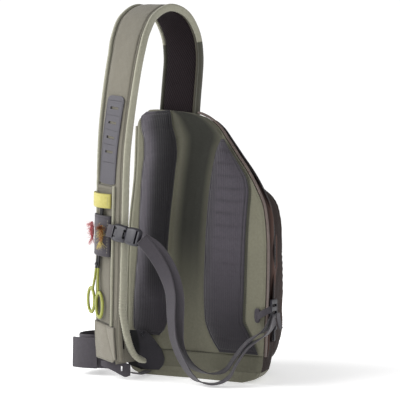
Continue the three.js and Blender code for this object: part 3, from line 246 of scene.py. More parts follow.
def ripples(p, wave, seed, stretch=(1, 1, 1), count=9):
    """Sum of sines over points, along seeded directions, between -1 and 1 at about that wavelength."""
    rng = np.random.default_rng(seed)
    total = np.zeros(p.shape[:-1])
    for _ in range(count):
        direction = unit(rng.normal(size=3)) / np.array(stretch)
        size = wave * rng.uniform(0.6, 1.7)
        total += np.sin(2 * np.pi * (p @ direction) / size + rng.uniform(0, 6.28))
    return total / count ** 0.5 / 1.6


def creases(p, wave, seed, stretch=(1, 1, 1)):
    """Narrow folds between 0 and 1: one minus the size of a warped sum of sines, to a high power."""
    return (1 - np.abs(np.clip(ripples(p, wave, seed, stretch), -1, 1))) ** 5


def ridge(f, z, start, end, width):
    """Fold along a straight line in two coordinates: a bell of the distance to it, fading at both ends."""
    run = np.array(end, float) - np.array(start, float)
    t = ((f - start[0]) * run[0] + (z - start[1]) * run[1]) / (run @ run)
    off = ((f - start[0]) * run[1] - (z - start[1]) * run[0]) / np.sqrt(run @ run)
    return np.exp(-(off / width) ** 2) * smooth(0, 0.3, t) * (1 - smooth(0.7, 1, t))


def catmull(points, places):
    """Centripetal Catmull-Rom curve through points at places 0 to 1, and its unit tangents."""
    n = len(points)
    ends = np.vstack([2 * points[0] - points[1], points, 2 * points[-1] - points[-2]])
    s = np.clip(places, 0, 1) * (n - 1)
    i = np.minimum(s.astype(int), n - 2)
    w = (s - i)[:, None]
    p0, p1, p2, p3 = ends[i], ends[i + 1], ends[i + 2], ends[i + 3]
    gap = lambda a, b: np.maximum(np.linalg.norm(b - a, axis=1, keepdims=True), 1e-6) ** 0.5
    d0, d1, d2 = gap(p0, p1), gap(p1, p2), gap(p2, p3)
    t1 = ((p1 - p0) / d0 - (p2 - p0) / (d0 + d1) + (p2 - p1) / d1) * d1
    t2 = ((p2 - p1) / d1 - (p3 - p1) / (d1 + d2) + (p3 - p2) / d2) * d1
    c2, c3 = -3 * p1 + 3 * p2 - 2 * t1 - t2, 2 * p1 - 2 * p2 + t1 + t2
    return p1 + t1 * w + c2 * w ** 2 + c3 * w ** 3, unit(t1 + 2 * c2 * w + 3 * c3 * w ** 2)


def path_frames(rows, up_size, places):
    """Centre, along, across and out at places on a table's path; turn and roll set the width's direction."""
    points = np.column_stack(
        [PACK_WIDTH * rows[:, 0], PANEL_FACE - STRAP_REACH * rows[:, 1], up_size * rows[:, 2]]
    )
    centre, along = catmull(points, places)
    keyed = np.column_stack([np.linspace(0, 1, len(rows)), rows[:, 3], rows[:, 4]])
    turn = np.radians(column(keyed, 1, places))
    roll = np.radians(column(keyed, 2, places))
    across = np.column_stack([np.cos(turn) * np.cos(roll), np.sin(turn) * np.cos(roll), -np.sin(roll)])
    across = unit(across - along * (across * along).sum(1, keepdims=True))
    return centre, along, across, -np.cross(across, along)


def strap_frames(places):
    """Frames along the shoulder strap at places from 0 to 1."""
    return path_frames(STRAP, STRAP_TOP, places)


LEG_PLACES = np.linspace(0.4, 1, 4001)
LEG_HEIGHTS = strap_frames(LEG_PLACES)[0][:, 2]


def leg_place(height):
    """Place along the strap where its front leg is at a height."""
    return np.interp(-np.asarray(height, float), -LEG_HEIGHTS, LEG_PLACES)


def leg_frames(heights):
    """Frames of the strap's front leg at heights in millimetres."""
    return strap_frames(leg_place(heights))


def carried(frames, across, out):
    """Grid of points: each frame's centre moved by across and out, which are per column or per point."""
    centre, _, wide, face = frames
    across, out = np.broadcast_arrays(np.atleast_2d(across), np.atleast_2d(out))
    return centre[:, None] + wide[:, None] * across[..., None] + face[:, None] * out[..., None]


def flat_profile(width, thickness, power=6.0, count=30):
    """Closed section: places across w/2 sin, half thickness (1 - |share| ^ power) ^ (1 / 2.4) both ways."""
    s = np.sin(np.linspace(-np.pi / 2, np.pi / 2, count))
    half = thickness / 2 * np.maximum(1 - np.abs(s) ** power, 0) ** (1 / 2.4)
    a = width / 2 * s
    return np.concatenate([a, a[-2:0:-1]]), np.concatenate([half, -half[-2:0:-1]])


def round_profile(width, thickness, count=20, power=0.8):
    """Closed section: a rounded form, half sizes times sine and cosine to a power."""
    w = np.linspace(0, 2 * np.pi, count, endpoint=False)
    bend = lambda v: np.sign(v) * np.abs(v) ** power
    return width / 2 * bend(np.cos(w)), thickness / 2 * bend(np.sin(w))


def slab(face, back):
    """Grid whose columns go over a face and return over the back, on fewer columns, so that it closes."""
    last = back.shape[1] - 1
    kept = np.unique(np.linspace(0, last, max(last // 4, 2)).astype(int))[::-1]
    return np.concatenate([face, back[:, kept]], axis=1)


# Meshes

def mesh_piece(name, points, faces, uv=None, smooth_angle=55):
    """Object from points in millimetres and face tables, one UV pair for each point."""
    mesh = bpy.data.meshes.new(name)
    mesh.from_pydata(((points + OFFSET) / 1000).tolist(), [], [f for part in faces for f in part.tolist()])
    if uv is not None:
        layer = mesh.uv_layers.new(name="cloth")
        index = np.zeros(len(mesh.loops), np.int32)
        mesh.loops.foreach_get("vertex_index", index)
        layer.data.foreach_set("uv", uv[index].astype(np.float32).ravel())
    mesh.polygons.foreach_set("use_smooth", np.ones(len(mesh.polygons), bool))
    if smooth_angle:
        mesh.set_sharp_from_angle(angle=math.radians(smooth_angle))
    mesh.update()
    piece = bpy.data.objects.new(name, mesh)
    bpy.context.collection.objects.link(piece)
    return piece


def grid_faces(rows, columns, wrap=False):
    """Quads between neighbouring rows and columns of a grid, joined round when wrapped."""
    i, j = np.meshgrid(np.arange(rows - 1), np.arange(columns if wrap else columns - 1), indexing="ij")
    k = (j + 1) % columns
    return np.stack(
        [i * columns + j, i * columns + k, (i + 1) * columns + k, (i + 1) * columns + j], -1
    ).reshape(-1, 4)


def volume(points, quads):
    """Six times the signed volume that quads enclose, positive where they face outward."""
    a, b, c, d = (points[quads[:, k]] for k in range(4))
    return (np.cross(b, c) * a).sum() + (np.cross(c, d) * a).sum()


def lengths(p, axis):
    """Distance travelled along an axis of a grid, from its first line."""
    step = np.linalg.norm(np.diff(p, axis=axis), axis=-1)
    start = np.zeros_like(np.take(step, [0], axis=axis))
    return np.cumsum(np.concatenate([start, step], axis=axis), axis=axis)


def loft(name, p, looped=False, smooth_angle=55):
    """Closed piece from a grid of rings: columns join round, ends close on a point or on each other."""
    rows, columns = p.shape[:2]
    turned = volume(p.reshape(-1, 3), grid_faces(rows, columns, True)) < 0
    if turned:
        p = p[:, ::-1]
    if looped:
        p = np.concatenate([p, p[:1]], axis=0)
        rows += 1
    u = lengths(p, 1) / 100
    v = lengths(p, 0) / 100
    uv = np.stack([u, np.broadcast_to(v.mean(1, keepdims=True), u.shape)], -1).reshape(-1, 2)
    points = p.reshape(-1, 3)
    faces = [grid_faces(rows, columns, True)]
    if not looped:
        j = np.arange(columns)
        k = (j + 1) % columns
        end = (rows - 1) * columns
        n = len(points)
        points = np.vstack([points, p[0].mean(0), p[-1].mean(0)])
        uv = np.vstack([uv, uv[:columns].mean(0), uv[-columns:].mean(0)])
        faces.append(np.column_stack([np.full(columns, n), k, j]))
        faces.append(np.column_stack([np.full(columns, n + 1), end + j, end + k]))
    piece = mesh_piece(name, points, faces, uv, None if looped else smooth_angle)
    if looped:
        merge(piece, 1e-5)
    piece["turned"] = bool(turned)
    return piece


def merge(piece, distance=1e-5):
    """Welds the points of a piece that lie closer than a distance in metres."""
    work = bmesh.new()
    work.from_mesh(piece.data)
    bmesh.ops.remove_doubles(work, verts=work.verts, dist=distance)
    work.to_mesh(piece.data)
    work.free()
    return piece


def rounded_ends(p, radius, steps=5):
    """Grid with its first and last rings drawn in over a quarter circle, so that no end is cut square."""
    def cap(ring, following):
        middle = ring.mean(0)
        away = unit(middle - following.mean(0))
        turn = np.linspace(0, np.pi / 2, steps + 1)[1:]
        reach = np.abs(ring - middle).max()
        shrink = 1 - (radius / reach) * (1 - np.cos(turn))
        return [middle + (ring - middle) * s + away * radius * np.sin(t) * 0.6 for s, t in zip(shrink, turn)]
    first = cap(p[0], p[1])[::-1]
    last = cap(p[-1], p[-2])
    return np.concatenate([np.array(first), p, np.array(last)])


def swept(name, frames, profile, across=0.0, out=0.0, ends=0.8, scale=None):
    """Piece whose closed section is carried along frames; scale is a share of the section at each frame."""
    a, o = profile
    scale = np.ones(len(frames[0])) if scale is None else scale
    p = carried(frames, across + a[None] * scale[:, None], out + o[None] * scale[:, None])
    return loft(name, rounded_ends(p, ends) if ends else p)


def stitches(name, line, normals, pitch=3.4, length=2.2, width=0.55, lift=0.15):
    """Row of thread ends: a squat spindle of six sides every pitch along a line, lying on the surface."""
    walked = lengths(line, 0)
    places = np.arange(pitch, walked[-1] - pitch / 2, pitch)
    pick = lambda values, at: np.column_stack([np.interp(at, walked, values[:, k]) for k in range(3)])
    centre = pick(line, places)
    along = unit(pick(line, places + 0.5) - pick(line, places - 0.5))
    face = unit(pick(normals, places))
    side = unit(np.cross(along, face))
    face = np.cross(side, along)
    ring = np.linspace(0, 2 * np.pi, 6, endpoint=False)
    stations = np.array([-0.5, -0.36, 0.0, 0.36, 0.5])
    swell = np.array([0.25, 0.85, 1.0, 0.85, 0.25]) * width / 2
    p = (centre[:, None, None] + along[:, None, None] * (stations * length)[None, :, None, None]
         + (side[:, None, None] * np.cos(ring)[None, None, :, None]
            + face[:, None, None] * np.sin(ring)[None, None, :, None]) * swell[None, :, None, None]
         + face[:, None, None] * lift)
    count = len(places)
    quads = grid_faces(5, 6, True)
    if volume(p[0].reshape(-1, 3), quads) < 0:
        quads = quads[:, ::-1]
        cap_a, cap_b = np.arange(6), 24 + np.arange(6)[::-1]
    else:
        cap_a, cap_b = np.arange(6)[::-1], 24 + np.arange(6)
    shift = (np.arange(count) * 30)[:, None, None]
    points = p.reshape(-1, 3)
    all_quads = (quads[None] + shift).reshape(-1, 4)
    caps = (np.stack([cap_a, cap_b])[None] + shift).reshape(-1, 6)
    uv = np.zeros((len(points), 2))
    return mesh_piece(name, points, [all_quads, caps], uv, 80)


# Shader groups, each built once and placed in several finishes

def tone(r, g, b, share=1.0):
    """Linear colour of an 8-bit screen colour, times a share that makes up for the studio's light."""
    v = np.array([r, g, b]) / 255
    v = share * np.where(v <= 0.04045, v / 12.92, ((v + 0.055) / 1.055) ** 2.4)
    return (float(v[0]), float(v[1]), float(v[2]), 1.0)


def new_group(name, inputs, outputs):
    """Empty shader group with its inputs and outputs."""
    group = bpy.data.node_groups.new(name, "ShaderNodeTree")
    for label, kind, value in inputs:
        socket = group.interface.new_socket(label, in_out="INPUT", socket_type=kind)
        if value is not None:
            socket.default_value = value
    for label, kind in outputs:
        group.interface.new_socket(label, in_out="OUTPUT", socket_type=kind)
    return group, group.nodes.new("NodeGroupInput"), group.nodes.new("NodeGroupOutput")


def maths(tree, operation, a, b=None, clamp=False):
    """Math node with its inputs linked or set; gives its output."""
    node = tree.nodes.new("ShaderNodeMath")
    node.operation = operation
    node.use_clamp = clamp
    for k, value in enumerate((a, b)):
        if value is None:
            continue
        if isinstance(value, (int, float)):
            node.inputs[k].default_value = value
        else:
            tree.links.new(value, node.inputs[k])
    return node.outputs[0]


def weave_group():
    """Plain weave: one sine across times one sine along, both at the thread's pitch in millimetres."""
    group, i, o = new_group(
        "plain_weave",
        [
            ("Place", "NodeSocketVector", None), ("Across pitch", "NodeSocketFloat", 1.0),
            ("Along pitch", "NodeSocketFloat", 1.0)
        ],
        [("Height", "NodeSocketFloat")]
    )
    parts = group.nodes.new("ShaderNodeSeparateXYZ")
    group.links.new(i.outputs["Place"], parts.inputs[0])
    a = maths(
        group, "SINE",
        maths(
            group, "MULTIPLY", maths(group, "DIVIDE", parts.outputs[0], i.outputs["Across pitch"]), 6.2832
        )
    )
    b = maths(
        group, "SINE",
        maths(group, "MULTIPLY", maths(group, "DIVIDE", parts.outputs[1], i.outputs["Along pitch"]), 6.2832)
    )
    height = maths(group, "MULTIPLY", maths(group, "ADD", maths(group, "MULTIPLY", a, b), 1.0), 0.5)
    group.links.new(height, o.inputs["Height"])
    return group


def webbing_group():
    """Webbing: ribs along the length that step sideways with a small zigzag, as a herringbone weave does."""
    group, i, o = new_group(
        "webbing_weave",
        [
            ("Place", "NodeSocketVector", None), ("Rib", "NodeSocketFloat", 1.5),
            ("Pick", "NodeSocketFloat", 1.2)
        ],
        [("Height", "NodeSocketFloat")]
    )
    parts = group.nodes.new("ShaderNodeSeparateXYZ")
    group.links.new(i.outputs["Place"], parts.inputs[0])
    rib = maths(group, "PINGPONG", maths(group, "DIVIDE", parts.outputs[0], i.outputs["Rib"]), 0.5)
    pick = maths(group, "ADD", maths(group, "DIVIDE", parts.outputs[1], i.outputs["Pick"]), rib)
    wave = maths(group, "SINE", maths(group, "MULTIPLY", pick, 6.2832))
    height = maths(group, "ADD", maths(group, "MULTIPLY", rib, 1.2), maths(group, "MULTIPLY", wave, 0.3))
    group.links.new(height, o.inputs["Height"])
    return group


def mesh_group():
    """Knitted spacer mesh: two families of slanting sine ridges with proud crossings and open gaps."""
    group, i, o = new_group(
        "spacer_mesh", [("Place", "NodeSocketVector", None), ("Pitch", "NodeSocketFloat", 3.0)],
        [("Height", "NodeSocketFloat"), ("Holes", "NodeSocketFloat")]
    )
    parts = group.nodes.new("ShaderNodeSeparateXYZ")
    group.links.new(i.outputs["Place"], parts.inputs[0])
    x = maths(group, "DIVIDE", parts.outputs[0], i.outputs["Pitch"])
    y = maths(group, "DIVIDE", parts.outputs[1], i.outputs["Pitch"])
    slant = maths(group, "ADD", x, maths(group, "MULTIPLY", y, 0.62))
    a = maths(group, "SINE", maths(group, "MULTIPLY", slant, 6.2832))
    b = maths(
        group, "SINE",
        maths(group, "MULTIPLY", maths(group, "SUBTRACT", maths(group, "MULTIPLY", x, 0.9), y), 6.2832)
    )
    height = maths(
        group, "MULTIPLY",
        maths(
            group, "ADD",
            maths(group, "ADD", maths(group, "MULTIPLY", a, 0.7), maths(group, "MULTIPLY", b, 0.3)), 1.0
        ),
        0.5
    )
    holes = maths(group, "LESS_THAN", height, 0.42)
    group.links.new(height, o.inputs["Height"])
    group.links.new(holes, o.inputs["Holes"])
    return group


def mottle_group():
    """Uneven dye and rubbing: coarse noise and fine noise, mixed between 0 and 1."""
    group, i, o = new_group(
        "uneven_dye",
        [
            ("Place", "NodeSocketVector", None), ("Coarse", "NodeSocketFloat", 14.0),
            ("Fine", "NodeSocketFloat", 260.0)
        ],
        [("Cloud", "NodeSocketFloat"), ("Speck", "NodeSocketFloat")]
    )
    for label, detail, out in (("Coarse", 3.0, "Cloud"), ("Fine", 2.0, "Speck")):
        noise = group.nodes.new("ShaderNodeTexNoise")
        noise.inputs["Detail"].default_value = detail
        noise.inputs["Roughness"].default_value = 0.6
        group.links.new(i.outputs["Place"], noise.inputs["Vector"])
        group.links.new(i.outputs[label], noise.inputs["Scale"])
        ramp = group.nodes.new("ShaderNodeMapRange")
        ramp.inputs["From Min"].default_value = 0.3
        ramp.inputs["From Max"].default_value = 0.7
        group.links.new(noise.outputs["Fac"], ramp.inputs["Value"])
        group.links.new(ramp.outputs["Result"], o.inputs[out])
    return group


WEAVE = weave_group()
WEBBING = webbing_group()
SPACER = mesh_group()
MOTTLE = mottle_group()


def placed(tree, group, place, **values):
    """A group's node in a tree, fed with a place and its set values."""
    node = tree.nodes.new("ShaderNodeGroup")
    node.node_tree = group
    tree.links.new(place, node.inputs["Place"])
    for label, value in values.items():
        node.inputs[label.replace("_", " ")].default_value = value
    return node


def blended(tree, share, a, b):
    """Colour between a and b; each is a colour or a socket."""
    node = tree.nodes.new("ShaderNodeMix")
    node.data_type = "RGBA"
    if isinstance(share, (int, float)):
        node.inputs[0].default_value = share
    else:
        tree.links.new(share, node.inputs[0])
    for socket, value in ((node.inputs[6], a), (node.inputs[7], b)):
        if isinstance(value, tuple):
            socket.default_value = value
        else:
            tree.links.new(value, socket)
    return node.outputs[2]


def finish_material(name, rough=0.85, sheen=0.0, metal=0.0, coat=0.0, sheen_rough=0.5, specular=0.4):
    """Material with a plain shader, its tree and that shader."""
    material = bpy.data.materials.new(name)
    material.use_nodes = True
    tree = material.node_tree
    shader = tree.nodes["Principled BSDF"]
    shader.inputs["Roughness"].default_value = rough
    shader.inputs["Metallic"].default_value = metal
    shader.inputs["Sheen Weight"].default_value = sheen
    shader.inputs["Sheen Roughness"].default_value = sheen_rough
    shader.inputs["Coat Weight"].default_value = coat
    shader.inputs["Specular IOR Level"].default_value = specular
    return material, tree, shader


def cloth_place(tree):
    """The piece's own cloth coordinates, in millimetres."""
    uv = tree.nodes.new("ShaderNodeUVMap")
    uv.uv_map = "cloth"
    scale = tree.nodes.new("ShaderNodeVectorMath")
    scale.operation = "SCALE"
    scale.inputs["Scale"].default_value = 100
    tree.links.new(uv.outputs[0], scale.inputs[0])
    return scale.outputs[0]


def object_place(tree):
    """Object coordinates of a tree."""
    coordinates = tree.nodes.new("ShaderNodeTexCoord")
    return coordinates.outputs["Object"]


def bumped(tree, shader, height, strength, distance):
    """Links a height to the shader's normal."""
    bump = tree.nodes.new("ShaderNodeBump")
    bump.inputs["Strength"].default_value = strength
    bump.inputs["Distance"].default_value = distance
    tree.links.new(height, bump.inputs["Height"])
    tree.links.new(bump.outputs[0], shader.inputs["Normal"])


def shade_mask(tree):
    """The piece's own attribute of painted shade: how much of the deep colour each point gets in folds, seams
    and hollows and on its shaded sides.
    """
    node = tree.nodes.new("ShaderNodeAttribute")
    node.attribute_name = "depth"
    return node.outputs["Fac"]


def cloth(
    name, base, light, dark, weave, pitches, rough=0.85, sheen=0.1, bump=0.35, cloud=0.5, speck=0.4,
    deep=None, specular=0.3
):
    """Woven finish: base colour, lighter on specks and darker in clouds of dye, with painted highlight on
    raised threads and painted shade mixed in toward the deep colour.
    """
    material, tree, shader = finish_material(name, rough, sheen, specular=specular)
    place = cloth_place(tree)
    if weave is SPACER:
        woven = placed(tree, SPACER, place, Pitch=pitches[0])
    elif weave is WEBBING:
        woven = placed(tree, WEBBING, place, Rib=pitches[0], Pick=pitches[1])
    else:
        woven = placed(tree, WEAVE, place, Across_pitch=pitches[0], Along_pitch=pitches[1])
    dye = placed(tree, MOTTLE, object_place(tree))
    colour = blended(tree, maths(tree, "MULTIPLY", dye.outputs["Cloud"], cloud), base, dark)
    colour = blended(tree, maths(tree, "MULTIPLY", dye.outputs["Speck"], speck), colour, light)
    # Painted highlight: raised threads, ribs and mesh crossings are mixed toward the light colour.
    colour = blended(
        tree, maths(tree, "MULTIPLY", woven.outputs["Height"], 0.8 if weave is SPACER else 0.3), colour,
        light
    )
    # Painted shade: the spacer mesh's openings are mixed toward the deep colour.
    if weave is SPACER:
        colour = blended(tree, maths(tree, "MULTIPLY", woven.outputs["Holes"], 0.75), colour, deep or dark)
    # Painted shade: the piece's shade attribute mixes in the deep colour.
    colour = blended(tree, shade_mask(tree), colour, deep or dark)
    tree.links.new(colour, shader.inputs["Base Color"])
    worn = maths(tree, "ADD", maths(tree, "MULTIPLY", dye.outputs["Speck"], 0.12), rough - 0.06)
    tree.links.new(worn, shader.inputs["Roughness"])
    height = maths(tree, "ADD", woven.outputs["Height"], maths(tree, "MULTIPLY", dye.outputs["Speck"], 0.4))
    bumped(tree, shader, height, bump, 0.0004)
    return material


def hard(name, base, light, dark, rough=0.45, metal=0.0, coat=0.0, grain=900.0, bump=0.08, specular=0.5):
    """Moulded or metal finish: fine grain, cloudy roughness and rubbed lighter patches."""
    material, tree, shader = finish_material(name, rough, metal=metal, coat=coat, specular=specular)
    dye = placed(tree, MOTTLE, object_place(tree), Coarse=60.0, Fine=grain)
    colour = blended(tree, maths(tree, "MULTIPLY", dye.outputs["Cloud"], 0.5), base, dark)
    colour = blended(tree, maths(tree, "MULTIPLY", dye.outputs["Speck"], 0.25), colour, light)
    tree.links.new(colour, shader.inputs["Base Color"])
    tree.links.new(
        maths(tree, "ADD", maths(tree, "MULTIPLY", dye.outputs["Cloud"], 0.15), rough - 0.07),
        shader.inputs["Roughness"]
    )
    bumped(tree, shader, dye.outputs["Speck"], bump, 0.0002)
    return material


def set_painted_shade(piece, values):
    """Stores painted shade for each point of a grid, 0 to 1, which the finish mixes toward its deep colour.
    """
    if piece.get("turned"):
        values = values[:, ::-1]
    attribute = piece.data.attributes.new("depth", "FLOAT", "POINT")
    full = np.zeros(len(piece.data.vertices), np.float32)
    full[:values.size] = np.clip(values, 0, 1).ravel()[:len(full)]
    attribute.data.foreach_set("value", full)


# Each finish's deep colour is painted shade, mixed in by the shade attribute stored on each piece.
SAGE = cloth(
    "sage_canvas", tone(150, 144, 128, 0.39), tone(172, 167, 150, 0.39), tone(128, 122, 108, 0.39), WEAVE,
    (1.3, 1.3), 0.88, 0.15, deep=tone(60, 57, 46, 0.3)
)
# Painted light: a lighter copy of the sage canvas, for the boot, which stands in more light.
SAGE_LIT_COPY = cloth(
    "sage_canvas_lit_copy", tone(158, 152, 138, 0.5), tone(178, 173, 158, 0.5), tone(140, 134, 121, 0.5), WEAVE,
    (1.3, 1.3), 0.88, 0.15, deep=tone(52, 49, 40, 0.3)
)
SAGE_EDGE = cloth(
    "sage_binding", tone(158, 156, 138, 0.72), tone(182, 180, 163, 0.72), tone(132, 130, 112, 0.72),
    WEBBING, (1.6, 1.4), 0.8, 0.2, deep=tone(70, 68, 54, 0.3)
)
OLIVE = cloth(
    "olive_panel", tone(122, 120, 102, 0.74), tone(146, 144, 126, 0.74), tone(100, 98, 84, 0.74), WEAVE,
    (1.1, 1.1), 0.85, 0.1, deep=tone(46, 47, 40, 0.42)
)
BROWN = cloth(
    "brown_shell_cloth", tone(98, 72, 64, 0.62), tone(128, 104, 95, 0.62), tone(76, 54, 48, 0.62), WEAVE,
    (0.9, 0.9), 0.66, 0.0, bump=0.2, cloud=0.6, speck=0.2, deep=tone(26, 15, 13, 0.55), specular=0.12
)
BROWN_EDGE = cloth(
    "brown_edge_cloth", tone(92, 76, 70, 0.8), tone(128, 112, 104, 0.8), tone(48, 36, 35, 0.8), WEAVE,
    (0.9, 0.9), 0.35, 0.0, bump=0.2, deep=tone(22, 16, 16, 0.8), specular=0.7
)
PAD = cloth(
    "pad_corduroy", tone(84, 79, 88, 0.55), tone(112, 106, 116, 0.55), tone(62, 57, 66, 0.55), WEAVE,
    (1.6, 1.0), 0.82, 0.25, deep=tone(34, 31, 37, 0.22)
)
# Painted shade: the lining's colours are scaled down to a share of 0.15 for the shade it lies in under the
# strap.
LINING = cloth(
    "lining_mesh_cloth", tone(46, 36, 42, 0.15), tone(104, 84, 92, 0.15), tone(34, 26, 30, 0.15), SPACER,
    (4.6, 4.6), 0.9, 0.0, bump=0.8, cloud=0.3, speck=0.1, specular=0.12, deep=tone(16, 12, 13, 0.15)
)
GREY_WEB = cloth(
    "grey_webbing_weave", tone(92, 86, 94, 0.36), tone(116, 110, 120, 0.36), tone(70, 65, 73, 0.36),
    WEBBING, (2.4, 1.5), 0.7, 0.2, bump=0.5, deep=tone(38, 35, 40, 0.36)
)
LAMINATE = cloth(
    "grey_laminate_cloth", tone(104, 101, 110, 0.36), tone(124, 121, 130, 0.36), tone(88, 85, 94, 0.36),
    WEAVE, (1.0, 1.0), 0.62, 0.1, bump=0.2, deep=tone(48, 46, 52, 0.36)
)
ZIP_TAPE = cloth(
    "zip_tape_cloth", tone(40, 31, 30, 0.6), tone(60, 48, 46, 0.6), tone(26, 20, 20, 0.6), WEBBING,
    (1.6, 1.2), 0.8, 0.0, deep=tone(12, 9, 9), specular=0.12
)
BLACK = cloth(
    "black_cloth_weave", tone(50, 48, 54, 0.62), tone(74, 71, 78, 0.62), tone(36, 34, 39, 0.62), WEAVE,
    (1.2, 1.2), 0.8, 0.15, deep=tone(10, 10, 12, 0.6)
)
LIME_WEB = cloth(
    "lime_webbing_weave", tone(196, 186, 98, 0.7), tone(222, 214, 138, 0.7), tone(168, 158, 74, 0.7),
    WEBBING, (2.0, 1.3), 0.7, 0.2, deep=tone(120, 112, 48, 0.7)
)
PLASTIC = hard(
    "grey_moulding", tone(62, 60, 71, 0.34), tone(92, 90, 104, 0.34), tone(48, 47, 53, 0.34), 0.4,
    specular=0.35
)
BLACK_PLASTIC = hard(
    "black_moulding", tone(36, 35, 40, 0.7), tone(70, 68, 74, 0.7), tone(24, 23, 27, 0.7), 0.4
)
LIME_ENAMEL = hard(
    "lime_coated_steel", tone(172, 178, 58, 0.55), tone(200, 204, 96, 0.55), tone(146, 152, 44, 0.55), 0.35,
    coat=0.3
)
DARK_STEEL = hard(
    "dark_steel", tone(64, 64, 68, 0.7), tone(120, 120, 126, 0.7), tone(36, 36, 40, 0.7), 0.32, metal=0.85
)
# Painted shade: near black, for the blobs that stand in for the shade in the buckle's slots.
SLOT_SHADE = hard(
    "painted_slot_shade", tone(12, 12, 14, 0.5), tone(24, 24, 27, 0.5), tone(8, 8, 9, 0.5), 0.8, specular=0.05
)
BLACK_STEEL = hard(
    "black_oxide_steel", tone(26, 26, 28, 0.5), tone(60, 60, 64, 0.5), tone(16, 16, 18, 0.5), 0.32,
    metal=0.3
)
THREAD_LIGHT = hard(
    "pale_thread", tone(176, 172, 154, 0.7), tone(196, 192, 174, 0.7), tone(140, 136, 120, 0.7), 0.75
)
THREAD_DARK = hard("dark_thread", tone(52, 50, 52, 0.6), tone(80, 78, 80, 0.6), tone(34, 32, 34, 0.6), 0.75)
THREAD_SAGE = hard(
    "sage_thread", tone(112, 108, 94, 0.6), tone(140, 136, 120, 0.6), tone(86, 82, 70, 0.6), 0.75
)
RED_FIBRE = hard(
    "red_fibre", tone(176, 44, 58, 0.75), tone(232, 150, 150, 0.75), tone(120, 22, 34, 0.75), 0.6
)
PINK_FIBRE = hard(
    "pink_fibre", tone(228, 160, 162, 0.85), tone(246, 210, 206, 0.85), tone(196, 92, 100, 0.85), 0.6
)
RUST_FIBRE = hard("rust_fibre", tone(140, 74, 26, 0.7), tone(206, 136, 52, 0.7), tone(84, 38, 12, 0.7), 0.6)
GOLD_FIBRE = hard(
    "gold_fibre", tone(216, 198, 118, 0.8), tone(240, 228, 170, 0.8), tone(180, 150, 70, 0.8), 0.55
)


def dress(piece, material, slot, *nodes):
    """Gives a piece its finish and its ride, and hides the nodes that it stands for; the slot is not used."""
    if not piece.data.materials:
        piece.data.materials.append(material)
    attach(piece, "root")
    if nodes:
        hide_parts(*nodes)
    return piece


def blurred(field, times):
    """Field after a running mean of three points along both axes, repeated."""
    for _ in range(times):
        wide = np.pad(field, 1, mode="edge")
        field = (
            wide[:-2, 1:-1] + wide[2:, 1:-1] + wide[1:-1, :-2] + wide[1:-1, 2:] + 2 * wide[1:-1, 1:-1]
        ) / 6
    return field


def inflated(face, back, outward, cap, voxel=0.005, pressure=4.0):
    """How far each point of a face rises when the closed body between face and back is puffed up as cloth.

    A copy is remeshed, simulated for 20 frames under pressure without gravity, and each point of the
    face then looks outward to the puffed skin; the rise is capped and evened out.
    """
    body = loft("puff_work", slab(face, back))
    bpy.context.view_layer.objects.active = body
    remesh = body.modifiers.new("remesh", "REMESH")
    remesh.mode = "VOXEL"
    remesh.voxel_size = voxel
    settings = body.modifiers.new("cloth", "CLOTH")
    settings.settings.use_pressure = True
    settings.settings.uniform_pressure_force = pressure
    settings.settings.effector_weights.gravity = 0
    settings.point_cache.frame_start = 1
    settings.point_cache.frame_end = 20
    for number in range(1, 21):
        bpy.context.scene.frame_set(number)
    evaluated = body.evaluated_get(bpy.context.evaluated_depsgraph_get())
    tree = BVHTree.FromObject(evaluated, bpy.context.evaluated_depsgraph_get())
    start = (face + OFFSET) / 1000 - outward * 0.006
    rise = np.zeros(face.shape[:2])
    for i, row in enumerate(start):
        for j, point in enumerate(row):
            hit = tree.ray_cast(Vector(point), Vector(outward), 0.08)
            rise[i, j] = (hit[3] - 0.006) * 1000 if hit[0] is not None else 0.0
    bpy.context.scene.frame_set(1)
    bpy.data.objects.remove(body)
    return blurred(np.clip(rise, 0, cap), 14)


# Body of the pack

def shell_grid(levels, angles, inset=0.0):
    """Shell's skin: half of a squared ellipse at each height, from the right rim round to the left rim."""
    z = levels[:, None]
    half = (pack_right(z) - pack_left(z)) / 2 - inset
    middle = (pack_right(z) + pack_left(z)) / 2
    cos, sin = np.cos(angles)[None], np.sin(angles)[None]
    across = np.sign(cos) * np.abs(cos) ** (2 / SQUARENESS)
    forward = np.abs(sin) ** (2 / SQUARENESS)
    depth = pack_depth(z) - inset
    height = np.broadcast_to(z, (len(levels), len(angles)))
    return np.stack([middle + half * across, SHELL_BACK + depth * forward, height], -1)


def grid_normals(p):
    """Unit normals of a grid, from its two central differences."""
    return unit(np.cross(np.gradient(p, axis=1), np.gradient(p, axis=0)))


